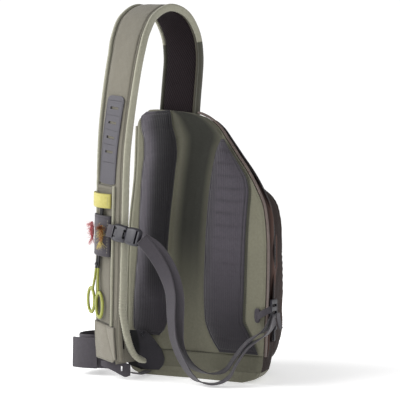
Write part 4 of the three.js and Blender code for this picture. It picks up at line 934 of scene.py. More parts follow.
def make_shell():
    """Shell: the squared skin plus soft folds and the long pulls of the sides, closed by a flat back."""
    levels = np.concatenate(
        [np.linspace(BASE_HEIGHT + SEAM_GAP, 425, 145), np.linspace(427, PACK_HEIGHT, 35)]
    )
    angles = np.pi * ease(160)
    p = shell_grid(levels, angles)
    n = grid_normals(p)
    if n[:, 80, 1].mean() < 0:
        n = -n
    forward = (p[..., 1] - SHELL_BACK) / SHELL_DEPTH
    free = smooth(0.02, 0.2, forward) * smooth(0, 25, p[..., 2] - BASE_HEIGHT)
    side = smooth(0.3, 0.9, np.abs(n[..., 0]))
    folds = creases(p, 60, 4, (1, 1, 3.6)) * 3.0 - 1.0
    soft = ripples(p, 70, 5, (1, 1, 2.5)) * 0.9
    fine = ripples(p, 16, 6, (1, 1, 1.6)) * 0.22
    sewn = smooth(30, 90, np.abs(p[..., 0])) * free
    pulls = sum(h * ridge(p[..., 1] - SHELL_BACK, p[..., 2], a, b, w) for a, b, w, h in SHELL_FOLDS) * sewn
    lift = free * (folds * (0.4 + 0.5 * side) + soft + fine) + pulls - 0.9
    p = p + n * lift[..., None]
    back = np.linspace(0, 1, 12)[None, :, None] * (p[:, :1] - p[:, -1:]) + p[:, -1:]
    back[..., 1] = SHELL_BACK
    ring = np.concatenate([p, back], axis=1)
    piece = loft("shell", ring)
    # Painted shade over the whole shell, less on the ridges of its pulls and folds, which reads as painted
    # highlight there, more between them; the flat back gets 0.8.
    deep = np.clip(0.84 - 0.2 * pulls - 0.08 * free * folds, 0.05, 1)
    deep = np.concatenate([deep, np.full(back.shape[:2], 0.8)], axis=1)
    set_painted_shade(piece, deep)
    return dress(piece, BROWN, "brown_cloth", "main_shell")


def pack_ring(levels, columns=150, back_columns=90):
    """Closed rings of the whole pack's section, back face included."""
    arc = shell_grid(levels, np.pi * ease(columns))
    share = np.linspace(0, 1, back_columns + 2)[1:-1][None, :, None]
    line = arc[:, -1:] * (1 - share) + arc[:, :1] * share
    line[..., 1] = PANEL_FACE
    return np.concatenate([arc, line], axis=1)


def make_base():
    """Base: a tray with rings tucked in at the floor, and the band behind it with its seam."""
    levels = BASE_HEIGHT * np.concatenate([np.linspace(0, 0.3, 12), np.linspace(0.35, 1, 14)])
    ring = pack_ring(levels)
    centre = ring.mean(1, keepdims=True)
    tuck = 3.0 * (1 - np.clip(levels / 7, 0, 1)) ** 2
    ring = ring - unit(ring - centre) * tuck[:, None, None] * np.array([1, 1, 0])
    swell = ripples(ring, 60, 8, (1, 1, 3)) * 0.5 - 0.5
    ring = ring + unit(ring - centre) * np.array([1, 1, 0]) * swell[..., None]
    low = [centre[0] * (1 - s) + ring[0] * s for s in (0.1, 0.5, 0.9)]
    ring = np.concatenate([np.array(low), ring])
    ring[:3, :, 2] = 0
    dress(loft("base_tray", ring), OLIVE, "olive_cloth", "base_panel")
    levels = np.linspace(6, BASE_BACK, 40)[:, None]
    share = np.linspace(0, 1, 130)[None]
    x = pack_left(levels) * (1 - share) + pack_right(levels) * share
    z = np.broadcast_to(levels, x.shape)
    p = np.stack([x, np.full_like(x, PANEL_FACE), z], -1)
    edge = np.minimum(x - pack_left(z), pack_right(z) - x)
    roll = 2.6 * (1 - smooth(0, 7, edge)) + 1.2 * (1 - smooth(6, 14, z))
    creased = 1.1 * creases(p, 80, 10, (1, 1, 0.6)) * smooth(6, 30, z) * smooth(2, 12, BASE_BACK - z)
    sag = 0.5 * ripples(p, 45, 9) + creased
    seam = 0.8 * (1 - smooth(0, 2.2, BASE_BACK - z))
    p[..., 1] += roll + seam - np.clip(sag, -0.5, 1.2) + 0.6
    back = p.copy()
    back[..., 1] = PANEL_FACE + 3.4
    piece = loft("base_back", slab(p, back))
    # Painted shade: a little over the whole band, more along its seam at the top.
    set_painted_shade(piece, slab(0.3 + 0.35 * (1 - smooth(0, 1.6, BASE_BACK - z)) + 0 * x, 0 * x))
    dress(piece, OLIVE, "olive_cloth")
    rise = BASE_BACK - 2.6
    x = np.linspace(pack_left(rise) + 4, pack_right(rise) - 4, 240)
    line = np.column_stack([x, np.full_like(x, PANEL_FACE + 0.45), np.full_like(x, rise)])
    row = stitches("base_seam_stitch", line, np.tile([0, -1.0, 0], (240, 1)), 3.2, 2.2, 0.5)
    dress(row, THREAD_SAGE, "olive_cloth")


def make_back_panel():
    """Back panel: flat cloth, hollowed between the pads by a squared sine and rolled at its rim."""
    z = np.linspace(BASE_BACK + SEAM_GAP, PACK_HEIGHT, 200)[:, None]
    left, right = pack_left(z), pack_right(z)
    share = np.linspace(0, 1, 170)[None]
    x = left * (1 - share) + right * share
    zz = np.broadcast_to(z, x.shape)
    channel_left = np.clip(PACK_WIDTH * column(LEFT_PAD, 2, z / PACK_HEIGHT), left, right)
    channel_right = np.clip(PACK_WIDTH * column(RIGHT_PAD, 1, z / PACK_HEIGHT), left, right)
    v = np.clip((x - channel_left) / np.maximum(channel_right - channel_left, 1), 0, 1)
    room = (channel_right - channel_left) / (0.25 * PACK_WIDTH)
    hollow = np.minimum(CHANNEL_DEPTH, CHANNEL_DEPTH * room) * np.sin(np.pi * v) ** 2
    p = np.stack([x, np.full_like(x, PANEL_FACE), zz], -1)
    edge = np.minimum(x - left, right - x)
    roll = 2.2 * (1 - smooth(0, 5, edge)) + 2.5 * (1 - smooth(0, 9, PACK_HEIGHT - zz)) * 0.8
    soft = 0.35 * ripples(p, 60, 12, (1, 1, 1.8)) + 0.15 * ripples(p, 14, 13)
    seam = 0.8 * (1 - smooth(0, 2.2, zz - BASE_BACK))
    p[..., 1] += np.clip(hollow + roll + seam + soft + 0.3, 0.05, 3.9)
    back = p.copy()
    back[..., 1] = PANEL_FACE + PANEL_THICKNESS - 0.1
    piece = loft("panel", slab(p, back))
    # Painted shade: in the channel between the pads, more higher up and most near the top, along the seam at
    # the base and in a line beside the right pad.
    shade = np.clip(np.sin(np.pi * np.clip(v * 0.9, 0, 1)) ** 0.9 * 1.15, 0, 0.95) * (v < 1)
    shade = shade * (0.25 + 0.75 * smooth(70, 260, zz)) * smooth(0, 0.04, v)
    shade = np.maximum(shade, 0.55 * smooth(300, 430, zz) * (v > 0) * (v < 0.93))
    shade = np.maximum(shade, 0.35 * (1 - smooth(0, 1.6, zz - BASE_BACK)))
    pad_edge = PACK_WIDTH * column(RIGHT_PAD, 2, z / PACK_HEIGHT)
    beside = 1 - smooth(0, 4.5, np.abs(x - pad_edge - 1.5))
    shade = np.maximum(shade, 0.6 * beside * smooth(44, 60, zz) * (1 - smooth(380, 396, zz)))
    set_painted_shade(piece, slab(shade, 0 * shade))
    dress(piece, OLIVE, "olive_cloth", "back_panel")
    for low_x, rows, side in ((LEFT_PAD, 1, -1), (RIGHT_PAD, 2, 1)):
        z = np.linspace(70, 380 if side > 0 else 440, 300)
        x = PACK_WIDTH * column(low_x, rows, z / PACK_HEIGHT) + side * 3.4
        line = np.column_stack([x, np.full_like(x, PANEL_FACE + 0.25), z])
        row = stitches(
            "margin_stitch_" + ("left" if side < 0 else "right"), line, np.tile([0, -1.0, 0], (300, 1)),
            3.4, 1.9, 0.95, 0.3
        )
        dress(row, THREAD_DARK, "olive_cloth")


def make_pad(name, rows, node, seed):
    """Pad: crowned between sides and ends, puffed up as cloth, ribbed upright with soft cross grooves."""
    low, high = PACK_HEIGHT * rows[0, 0], PACK_HEIGHT * rows[-1, 0]
    crown = lambda s, power: np.maximum(1 - np.abs(2 * s - 1) ** power, 0) ** 0.5

    def grid(up, wide):
        v, u = ease(up)[:, None], ease(wide)[None]
        z = low + (high - low) * v
        x = PACK_WIDTH * (column(rows, 1, z / PACK_HEIGHT) * (1 - u) + column(rows, 2, z / PACK_HEIGHT) * u)
        depth = PAD_RIM + (PAD_THICKNESS - PAD_RIM - 1.8) * crown(u, 2.1) * crown(v, 5)
        ground = np.full_like(x, PANEL_FACE - SEAM_GAP)
        z = np.broadcast_to(z, x.shape)
        return np.stack([x, ground - depth, z], -1), np.stack([x, ground, z], -1), u, v
    face, back, u, v = grid(60, 30)
    rise = inflated(face, back, np.array([0, -1.0, 0]), 2.6)
    face, back, u, v = grid(220, 120)
    i, j = np.linspace(0, 59, 220), np.linspace(0, 29, 120)
    rise = np.array([np.interp(i, np.arange(60), column_) for column_ in rise.T]).T
    rise = np.array([np.interp(j, np.arange(30), row_) for row_ in rise])
    inner = crown(u, 4) * crown(v, 10)
    z = face[..., 2]
    rib = 0.34 * np.sin(2 * np.pi * face[..., 0] / 3.3 + 0.25 * np.sin(z / 9))
    wave = z + 2.2 * np.sin(face[..., 0] / 17 + seed)
    groove = np.exp(-(np.abs((wave / 20.2) % 1 - 0.5) / 0.13) ** 2)
    soft = 0.5 * ripples(face, 50, seed)
    edge = np.minimum(np.minimum(u, 1 - u) * 85, np.minimum(v, 1 - v) * 350)
    lift = inner * (rise + rib - (0.3 + 0.12 * seed) * groove + soft) + 0.3
    seam = 0.9 * np.exp(-((edge - 4.5) / 1.4) ** 2)
    face[..., 1] -= np.clip(lift - seam, -1.2, 3.4)
    piece = loft(name, slab(face, back))
    # Painted shade: in the cross grooves, along the sewn rim, on the left pad's right half and the right
    # pad's left side, and over the lower part.
    patch = 0.5 + 0.5 * ripples(face, 60, seed + 6)
    depth = 0.1 if seed == 2 else 0.42
    shade = depth * groove * inner * np.clip(patch, 0.25, 1)
    shade = shade + 0.5 * np.exp(-((edge - 4.5) / 1.2) ** 2) + 0.8 * (1 - smooth(0, 1.2, edge))
    shade = np.maximum(
        shade,
        (0.9 * smooth(0.2, 0.62, u) if seed == 2 else 0.4 * (1 - smooth(0.1, 0.35, u))) * smooth(60, 200, z)
    )
    shade = np.maximum(shade, 0.68 * (1 - smooth(60, 230, z)))
    set_painted_shade(piece, slab(shade, shade))
    dress(piece, PAD, "pad_mesh", node)


def pocket_grid(up, wide, shrink=0.0):
    """Pocket's skin: the shell's front plus depth times two squared bulges, with rounded corners."""
    v, u = ease(up)[:, None], ease(wide)[None]
    rounding = np.clip(np.minimum(v, 1 - v) / 0.12, 0, 1)
    pull = 1 - np.sqrt(1 - (1 - rounding) ** 2)
    z = POCKET_BOTTOM + POCKET_HEIGHT * v
    left, right = pack_left(z) + 3 + pull * 26, pack_right(z) - 3 - pull * 26
    x = left * (1 - u) + right * u
    z = np.broadcast_to(z, x.shape)
    bulge = lambda s: np.maximum(1 - np.abs(2 * s - 1) ** 6, 0) ** 0.36
    bed = shell_front(x, z) - 3
    return np.stack(
        [x, bed + (POCKET_DEPTH - shrink) * bulge(u) * bulge(v), z], -1
    ), np.stack([x, bed - 4, z], -1), u, v


def make_pocket():
    """Pocket: the bulged skin, puffed up as cloth, with folds along its normals."""
    face, back, u, v = pocket_grid(44, 44, 5)
    rise = inflated(face, back, np.array([0, 1.0, 0]), 6, 0.008)
    face, back, u, v = pocket_grid(160, 160, 3)
    k = np.linspace(0, 43, 160)
    rise = np.array([np.interp(k, np.arange(44), c) for c in rise.T]).T
    rise = np.array([np.interp(k, np.arange(44), r) for r in rise])
    n = grid_normals(face)
    if n[80, 80, 1] < 0:
        n = -n
    n = unit(np.stack([blurred(n[..., k], 4) for k in range(3)], -1))
    inner = np.clip(np.minimum(u, 1 - u) * 14, 0, 1) * np.clip(np.minimum(v, 1 - v) * 14, 0, 1)
    folds = creases(face, 62, 24, (1, 1, 3.4)) * 4.2 - 1.4
    soft = ripples(face, 80, 25, (1, 1, 2)) * 1.5 + 0.3 * ripples(face, 17, 26, (1, 1, 1.7))
    pulls = sum(h * ridge(face[..., 1] - SHELL_BACK, face[..., 2], a, b, w) for a, b, w, h in POCKET_FOLDS)
    pulls = pulls * smooth(60, 100, np.abs(face[..., 0])) * inner
    lift = inner * (folds + soft + np.clip(rise, 0, 2) - 1.6) + pulls
    face = face + n * lift[..., None]
    face[..., 2] = np.clip(face[..., 2], 21, 326)
    piece = loft("pocket", slab(face, back))
    # Painted shade over the whole pocket, less on the ridges of its pulls and folds, which reads as painted
    # highlight there.
    deep = np.clip(0.82 - 0.2 * pulls - 0.07 * inner * folds, 0.05, 1)
    set_painted_shade(piece, slab(deep, 0 * deep))
    dress(piece, BROWN, "brown_cloth", "front_pocket")


def outline_side(side, low, high, count):
    """Points of the pack's outline from behind and their outward directions."""
    z = low + (high - low) * ease(count)
    x = pack_right(z) if side > 0 else pack_left(z)
    line = np.column_stack([x, 0 * z, z])
    along = unit(np.gradient(line, axis=0))
    return line, np.column_stack([along[:, 2] * side, 0 * z, -along[:, 0] * side])


def make_piping(side, top, name, node):
    """Cord sewn into the pack's edge: a round section along the outline."""
    line, out = outline_side(side, BASE_BACK + SEAM_GAP, PACK_HEIGHT * top, 420)
    centre = line + out * (2.1 + 2.5 * SEAM_GAP)
    centre[:, 1] = PANEL_FACE + PANEL_THICKNESS
    walked = lengths(centre, 0)
    swell = 1.05 + 0.05 * np.sin(2 * np.pi * walked / 3.1) + 0.05 * np.sin(walked / 23)
    w = np.linspace(0, 2 * np.pi, 14, endpoint=False)
    ring = centre[:, None] + 2.1 * swell[:, None, None] * (
        out[:, None] * np.cos(w)[None, :, None] + np.array([0, 1.0, 0]) * np.sin(w)[None, :, None]
    )
    piece = loft(name, rounded_ends(ring, 1.5))
    dress(piece, BROWN_EDGE if side > 0 else SAGE_EDGE, "brown_cloth" if side > 0 else "sage_cloth", node)


def tape_and_teeth(name, p, normals, node, slot):
    """Zip: a slab of tape through a grid, with a row of coil loops along its middle."""
    piece = loft(name, slab(p + normals * 1.3, p))
    dress(piece, ZIP_TAPE, slot, node)
    middle = p.shape[1] // 2
    line = p[:, middle] + normals[:, middle] * 1.4
    side = unit(p[:, -1] - p[:, 0])
    for sign, label in ((-1, "a"), (1, "b")):
        walked = lengths(line, 0)
        at = np.arange(2, walked[-1] - 2, 2.4)
        pick = lambda values: np.column_stack([np.interp(at, walked, values[:, k]) for k in range(3)])
        centre = pick(line) + pick(side) * sign * 1.5
        across = unit(pick(side))
        up = unit(pick(normals[:, middle]))
        along = unit(np.cross(across, up))
        stations = np.array([-1.5, -0.9, 0.9, 1.5])
        swell = np.array([0.35, 0.8, 0.8, 0.35])
        ring = np.linspace(0, 2 * np.pi, 6, endpoint=False)
        turned = (
            along[:, None, None] * np.cos(ring)[None, None, :, None]
            + up[:, None, None] * np.sin(ring)[None, None, :, None]
        )
        q = centre[:, None, None] + across[:, None, None] * stations[None, :, None, None]
        q = q + turned * swell[None, :, None, None]
        quads = grid_faces(4, 6, True)
        flip = volume(q[0].reshape(-1, 3), quads) < 0
        quads = quads[:, ::-1] if flip else quads
        first, last = np.arange(6)[::-1], np.arange(18, 24)
        cap = np.stack([first[::-1], last[::-1]] if flip else [first, last])
        shift = (np.arange(len(at)) * 24)[:, None, None]
        points = q.reshape(-1, 3)
        row = mesh_piece(
            name + "_coil_" + label, points,
            [(quads[None] + shift).reshape(-1, 4), (cap[None] + shift).reshape(-1, 6)],
            np.zeros((len(points), 2)), 80
        )
        dress(row, BLACK_PLASTIC, slot)


def make_zips():
    """Zips: one up the right side at a share of the depth, one straight across the pocket."""
    line, out = outline_side(1, PACK_HEIGHT * 0.14, PACK_HEIGHT * 0.945, 200)
    z = line[:, 2:3]
    v = np.linspace(0, 1, 9)[None]
    half = (pack_right(z) - pack_left(z)) / 2
    forward = pack_depth(z) * 0.34 + ZIP_WIDTH * (v - 0.5)
    drop = half * (1 - (1 - (forward / pack_depth(z)) ** SQUARENESS) ** (1 / SQUARENESS))
    p = np.stack(
        [line[:, :1] - drop, SHELL_BACK + forward, np.broadcast_to(z, forward.shape)], -1
    ) + out[:, None] * 1.2
    tape_and_teeth("side_zip", p, np.broadcast_to(out[:, None], p.shape), "main_zip", "black_cloth")
    u = np.linspace(0.16, 0.84, 160)[None]
    v = 0.78 + (ZIP_WIDTH / POCKET_HEIGHT) * (np.linspace(0, 1, 9)[:, None] - 0.5)
    z = POCKET_BOTTOM + POCKET_HEIGHT * v
    left, right = pack_left(z) + 3, pack_right(z) - 3
    x = left * (1 - u) + right * u
    z = np.broadcast_to(z, x.shape)
    bulge = lambda s: (1 - np.abs(2 * s - 1) ** 6) ** 0.36
    y = shell_front(x, z) + POCKET_DEPTH * bulge(u) * bulge(v) - 3 + 0.9
    p = np.swapaxes(np.stack([x, y, z], -1), 0, 1)
    tape_and_teeth(
        "front_zip", p, np.broadcast_to(np.array([0, 1.0, 0]), p.shape), "pocket_zip", "black_cloth"
    )


# Shoulder strap

def seated(p, rows=26):
    """Strap grid whose first rows come down, evenly, to the pack's sloping top."""
    z = np.linspace(PACK_HEIGHT * 0.5, PACK_HEIGHT, 2000)
    right = pack_right(z)
    order = np.argsort(right)
    x = p[0, :, 0]
    top = np.where(x < pack_right(PACK_HEIGHT), PACK_HEIGHT, np.interp(x, right[order], z[order])) + 0.3
    share = np.linspace(0, 1, rows)[:, None]
    p[:rows, :, 2] = top[None] * (1 - share) + p[rows, :, 2][None] * share
    return p


PLACES = np.linspace(0, 1, 460)


def make_strap():
    """Strap body: a flat section swept along the strap."""
    frames = strap_frames(np.linspace(0, float(leg_place(36)), 380))
    a, o = flat_profile(BODY_WIDTH, STRAP_THICKNESS, 8, 48)
    p = carried(frames, a, o)
    outer = (o > 0)[None]
    share = (2 * a / BODY_WIDTH)[None]
    walked = lengths(frames[0], 0)[:, None]
    groove = np.exp(-((np.abs(share) - 0.86) / 0.035) ** 2)
    crown = 1 - np.abs(share) ** 3
    soft = 0.35 * ripples(p, 60, 31) + 0.14 * ripples(p, 15, 32)
    lift = np.where(outer, 0.9 * crown - 0.8 * groove + soft * (1 - groove), 0.0) - 0.15
    p = p + frames[3][:, None] * (lift * np.where(np.abs(share) > 0.97, 0, 1))[..., None]
    piece = loft("strap_padding", rounded_ends(seated(p), 1.2))
    # Painted shade in the stitched grooves of the outer face.
    deep = np.where(outer, 0.35 * groove, 0) + 0 * walked
    set_painted_shade(piece, np.concatenate([deep[:1].repeat(5, 0), deep], 0))
    dress(piece, SAGE, "sage_cloth", "strap_body")
    for side in (-1, 1):
        offset = side * BODY_WIDTH / 2 * 0.86
        line = carried(frames, np.array([offset]), np.array([STRAP_FACE - 0.35]))[12:-30, 0]
        row = stitches(
            "strap_stitch_" + ("left" if side < 0 else "right"), line, frames[3][12:-30], 3.6, 2.4, 0.6, 0.1
        )
        dress(row, THREAD_SAGE, "sage_cloth")


def flare_frames(places):
    """Frames of the roll that leaves the strap's right edge and then follows the flare's own path."""
    roll = leg_frames(np.array([FLARE_START, 134.0, 122.0]))
    first = roll[0] + roll[2] * (BODY_WIDTH / 2 + SEAM_GAP + BINDING_WIDTH / 2)
    rest = path_frames(TONGUE, STRAP_TOP, np.array([0.16, 0.34, 0.52, 0.7, 0.86, 1.0]))
    centre, along = catmull(np.vstack([first, rest[0]]), places)
    keys = np.linspace(0, 1, 9)
    wide = np.vstack([roll[2], rest[2]])
    wide = np.column_stack([np.interp(places, keys, wide[:, k]) for k in range(3)])
    wide = unit(wide - along * (wide * along).sum(1, keepdims=True))
    return centre, along, wide, -np.cross(wide, along)


def make_binding(side):
    """Edge roll: a rounded section with a pinch where it is sewn to the strap, gathered along its length."""
    end = 1.0 if side < 0 else float(leg_place(FLARE_START))
    places = np.linspace(0, end, 480)
    frames = strap_frames(places)
    a, o = round_profile(BINDING_WIDTH, BINDING_THICKNESS, 30, 0.75)
    walked = lengths(frames[0], 0)[:, None]
    inward = smooth(0.2, 1, -side * a / (BINDING_WIDTH / 2))[None]
    gather = 0.16 * np.sin(2 * np.pi * walked / 4.6) * (0.35 + 0.65 * smooth(0.2, 0.6, walked / walked[-1]))
    thin = 1 - 0.3 * inward + (gather + 0.1 * np.sin(walked / 21)) / (BINDING_THICKNESS / 2) * (1 - inward)
    wide = 1 + gather / (BINDING_WIDTH / 2) * 0.5
    offset = side * (BODY_WIDTH / 2 + SEAM_GAP + BINDING_WIDTH / 2)
    p = carried(frames, offset + a[None] * wide, o[None] * thin)
    piece = loft("strap_roll_" + ("left" if side < 0 else "right"), rounded_ends(seated(p), 2.5))
    # Painted shade: on the roll's inner side by the strap, over the whole rear leg, and in a narrow line
    # where the rear leg starts.
    deep = 0.55 * inward ** 2 * np.ones_like(walked)
    rear = 1 - smooth(0.168, 0.172, places)[:, None]
    seam = np.exp(-((places[:, None] - 0.17) / 0.0025) ** 2)
    deep = np.maximum(deep, np.maximum(0.88 * rear, 1.0 * seam))
    set_painted_shade(piece, np.concatenate([deep[:1].repeat(5, 0), deep], 0))
    dress(piece, SAGE_EDGE, "sage_cloth", "strap_binding_left" if side < 0 else "strap_binding_right")


def make_lining():
    """Mesh lining on the strap's inner side, drawn in at both edges."""
    frames = strap_frames(PLACES[:446])
    half = BODY_WIDTH / 2 - 2
    a = half * np.sin(np.linspace(-np.pi / 2, np.pi / 2, 40))
    near = -(STRAP_FACE + SEAM_GAP)
    edge = np.maximum(1 - np.abs(a / half) ** 10, 0) ** 0.5
    face = carried(frames, a, near - 0.5 - 1.3 * edge)
    back = carried(frames, a, np.full_like(a, near))
    face = face - frames[3][:, None] * (0.25 * ripples(face, 35, 36))[..., None]
    piece = loft("strap_mesh_lining", seated(slab(face, back)))
    dress(piece, LINING, "lining_mesh", "strap_lining")


def patch_grid(top, bottom, rows, width, across_top, across_bottom, out, columns=40, bow=None):
    """Grid on the strap's outer face between two heights; the middle slides across, and bow lifts it."""
    heights = np.linspace(top, bottom, rows)
    frames = leg_frames(heights)
    s = np.linspace(-0.5, 0.5, columns)[None]
    across = np.linspace(across_top, across_bottom, rows)[:, None] + width * s
    lift = out + (0 if bow is None else bow(s + 0.5)) + 0 * across
    return carried(frames, across, lift), frames


def plate(name, face, frames, thickness, material, slot, node, edge=1.0, seed=1, soft=0.15):
    """Sewn patch: a face that rounds down to its rim, with a flat back."""
    rows, columns = face.shape[:2]
    i = np.minimum(np.arange(rows), np.arange(rows)[::-1])[:, None] / rows
    j = np.minimum(np.arange(columns), np.arange(columns)[::-1])[None] / columns
    high = np.linalg.norm(face[0, 0] - face[-1, 0])
    wide = np.linalg.norm(face[0, 0] - face[0, -1])
    rim = np.minimum(i * high, j * wide)
    drop = thickness * 0.6 * (1 - smooth(0, edge, rim))
    lift = thickness - drop + soft * ripples(face, 22, seed) * smooth(0, 4, rim)
    out = frames[3][:, None]
    piece = loft(name, slab(face + out * lift[..., None], face))
    # Painted shade where the face rounds down to its rim.
    deep = 0.7 * (1 - smooth(0, edge, rim))
    set_painted_shade(piece, slab(deep, deep))
    return dress(piece, material, slot, node) if node else dress(piece, material, slot)


def edge_row(name, face, frames, thickness, inset, thread, slot, which, pitch=3.2, width=0.5):
    """Stitches along a side of a patch: which is left, right, top or bottom."""
    columns = face.shape[1]
    wide = np.linalg.norm(face[0, 0] - face[0, -1])
    high = np.linalg.norm(face[0, 0] - face[-1, 0])
    k = int(round(inset / wide * (columns - 1)))
    m = int(round(inset / high * (face.shape[0] - 1)))
    lines = {
        "left": (face[m:-m or None, k], frames[3][m:-m or None]),
        "right": (face[m:-m or None, -1 - k], frames[3][m:-m or None]),
        "top": (face[m, k:-k or None], None), "bottom": (face[-1 - m, k:-k or None], None),
    }
    line, normal = lines[which]
    if normal is None:
        normal = np.tile(frames[3][m if which == "top" else -1 - m], (len(line), 1))
    line = line + normal * thickness
    dress(stitches(name, line, normal, pitch, pitch * 0.66, width, 0.08), thread, slot)


def holed(name, p, u, v, holes, thickness, material, slot, node, out):
    """Sheet with openings: cells of the grid that lie in a hole are left out, the rest is thickened."""
    rows, columns = p.shape[:2]
    faces = grid_faces(rows, columns)
    i, j = faces[:, 0] // columns, faces[:, 0] % columns
    cu, cv = (u[j] + u[j + 1]) / 2, (v[i] + v[i + 1]) / 2
    keep = np.ones(len(faces), bool)
    for ulo, uhi, vlo, vhi in holes:
        keep &= ~((cu > ulo) & (cu < uhi) & (cv > vlo) & (cv < vhi))
    faces = faces[keep]
    points = p.reshape(-1, 3)
    first = faces[0]
    facing = np.cross(points[first[1]] - points[first[0]], points[first[2]] - points[first[0]]) @ out
    if facing < 0:
        faces = faces[:, ::-1]
    used = np.unique(faces)
    table = np.full(len(points), -1)
    table[used] = np.arange(len(used))
    uv = np.stack(np.meshgrid(u, v), -1).reshape(-1, 2)[used] / 100
    piece = mesh_piece(name, points[used], [table[faces]], uv, None)
    solid = piece.modifiers.new("thickness", "SOLIDIFY")
    solid.thickness = thickness / 1000
    solid.offset = 0.0
    bevel = piece.modifiers.new("edge", "BEVEL")
    bevel.width = min(0.0005, thickness / 3000)
    bevel.segments = 2
    bevel.limit_method = "ANGLE"
    bevel.angle_limit = math.radians(50)
    return dress(piece, material, slot, node)


def lines_between(low, high, marks, step):
    """Sorted grid lines from low to high, no further apart than step, with every mark among them."""
    stops = np.unique(np.concatenate([[low, high], marks]))
    return np.unique(
        np.concatenate(
            [
                np.linspace(a, b, max(int(np.ceil((b - a) / step)), 1) + 1) for a,
                b in zip(stops[:-1], stops[1:])
            ]
        ).round(4)
    )


def make_daisy():
    """Daisy strip: a plate with slots, with sewn edges and bars between the slots."""
    top, bottom, width = DAISY_TOP, DAISY_BOTTOM, DAISY_WIDTH
    starts = top - 22.4 * (0.85 + np.arange(4))
    marks = np.concatenate([starts - 1.9, starts + 1.9])
    v = lines_between(bottom, top, marks, 2.4)[::-1]
    u = lines_between(-width / 2, width / 2, np.array([-10.0, 10.0]), 1.6)
    frames = leg_frames(v)
    down = top - v
    up = v - bottom
    corner = np.maximum(np.clip(1 - down / 9, 0, 1), np.clip(1 - up / 3, 0, 1))
    narrow = 1 - (9 / (width / 2)) * (1 - np.sqrt(1 - corner ** 2))
    shift = 2 - 7.5 * (top - v) / (top - bottom)
    lift = STRAP_FACE + SEAM_GAP + 1.3
    p = carried(frames, shift[:, None] + u[None] * narrow[:, None], np.full((1, len(u)), lift))
    bulge = sum(np.exp(-((v[:, None] - s) / 4.2) ** 2) for s in starts) * np.exp(-(u[None] / 11) ** 4)
    p = p + frames[3][:, None] * (0.5 * bulge + 0.2 * ripples(p, 30, 40))[..., None]
    holes = [(-10, 10, s - 1.9, s + 1.9) for s in starts]
    holed("daisy_strip", p, u, v, holes, 1.6, LAMINATE, "grey_laminate", "daisy_tab", frames[3][5])
    smooth_rows = leg_frames(np.linspace(bottom + 2, top - 4, 160))
    h = np.linspace(bottom + 2, top - 4, 160)
    centre = 2 - 7.5 * (top - h) / (top - bottom)
    for side in (-1, 1):
        line = carried(
            smooth_rows, (centre + side * (width / 2 - 2.2))[:, None], np.array([[lift + 0.8]])
        )[:, 0]
        dress(
            stitches(
                "daisy_edge_" + ("left" if side < 0 else "right"), line, smooth_rows[3], 3.0, 2.0, 0.5
            ),
            THREAD_DARK, "grey_laminate"
        )
    for k, height in enumerate([*(starts + 11.2), starts[-1] - 16.5]):
        f = leg_frames(np.array([height]))
        across = np.linspace(-17, 17, 40) + 2 - 7.5 * (top - height) / (top - bottom)
        line = carried(f, across[None], np.full((1, 40), lift + 0.85))[0]
        dress(
            stitches(f"daisy_bar_{k}", line, np.tile(f[3][0], (40, 1)), 1.5, 1.1, 0.5), THREAD_DARK,
            "grey_laminate"
        )


def make_tool_panel():
    """Tool panel under the sleeve and flies, with a cord along its right edge."""
    across = TOOL_ACROSS
    out = STRAP_FACE + SEAM_GAP
    face, frames = patch_grid(TOOL_TOP, TOOL_BOTTOM, 150, TOOL_WIDTH, across, across, out, 60)
    plate("tool_pocket", face, frames, 2.9, SAGE, "sage_cloth", "tool_panel", 2.4, 44, 0.25)
    for which in ("left", "right"):
        edge_row("tool_pocket_" + which, face, frames, 2.95, 4.2, THREAD_SAGE, "sage_cloth", which)
    edge_row("tool_pocket_hem", face, frames, 2.95, 6, THREAD_SAGE, "sage_cloth", "top")
    frames = leg_frames(np.linspace(TOOL_TOP, TOOL_BOTTOM, 260))
    walked = lengths(frames[0], 0)
    swell = 1 + 0.05 * np.sin(2 * np.pi * walked / 3.2) + 0.04 * np.sin(walked / 17)
    piece = swept(
        "tool_pocket_cord", frames, round_profile(4.8, 4.8, 14, 1.0), across + TOOL_WIDTH / 2 + 0.8 + 2.4,
        STRAP_FACE + SEAM_GAP + 2.4, 1.2, swell
    )
    dress(piece, SAGE_EDGE, "sage_cloth", "tool_ridge")


def bow(rise):
    """Rise of a band that bows over what it holds."""
    return lambda share: rise * np.sin(np.pi * np.clip(share, 0, 1)) ** 0.7


def make_bands():
    """Lime band over the sleeve and fleece patch for the flies, both bowed."""
    base = TOOL_FACE + SEAM_GAP
    face, frames = patch_grid(LIME_TOP, LIME_BOTTOM, 40, 46, -13, -13, base, 70, bow(10.5))
    plate("lime_band", face, frames, 1.8, LIME_WEB, "lime_webbing", "lime_tab", 0.9, 51, 0.12)
    for which in ("left", "right"):
        edge_row("lime_band_" + which, face, frames, 1.85, 3.4, THREAD_LIGHT, "lime_webbing", which, 2.2)
    face, frames = patch_grid(PATCH_TOP, PATCH_BOTTOM, 80, 44, -11, -11, base, 70, bow(PATCH_RISE))
    low = smooth(0.78, 1, np.linspace(0, 1, 80))[:, None] * np.exp(
        -((np.linspace(0, 1, 70)[None] - 0.45) / 0.3) ** 2
    )
    face = face + frames[3][:, None] * (1.3 * low)[..., None]
    plate("fly_fleece", face, frames, 2.3, GREY_WEB, "grey_webbing", "fly_patch", 1.0, 52, 0.3)
    edge_row("fly_fleece_right", face, frames, 2.35, 3.0, THREAD_LIGHT, "grey_webbing", "right", 4.6, 0.7)
    edge_row("fly_fleece_top", face, frames, 2.35, 3.0, THREAD_DARK, "grey_webbing", "top", 3.0)
    edge_row("fly_fleece_low", face, frames, 2.35, 3.0, THREAD_DARK, "grey_webbing", "bottom", 3.0)


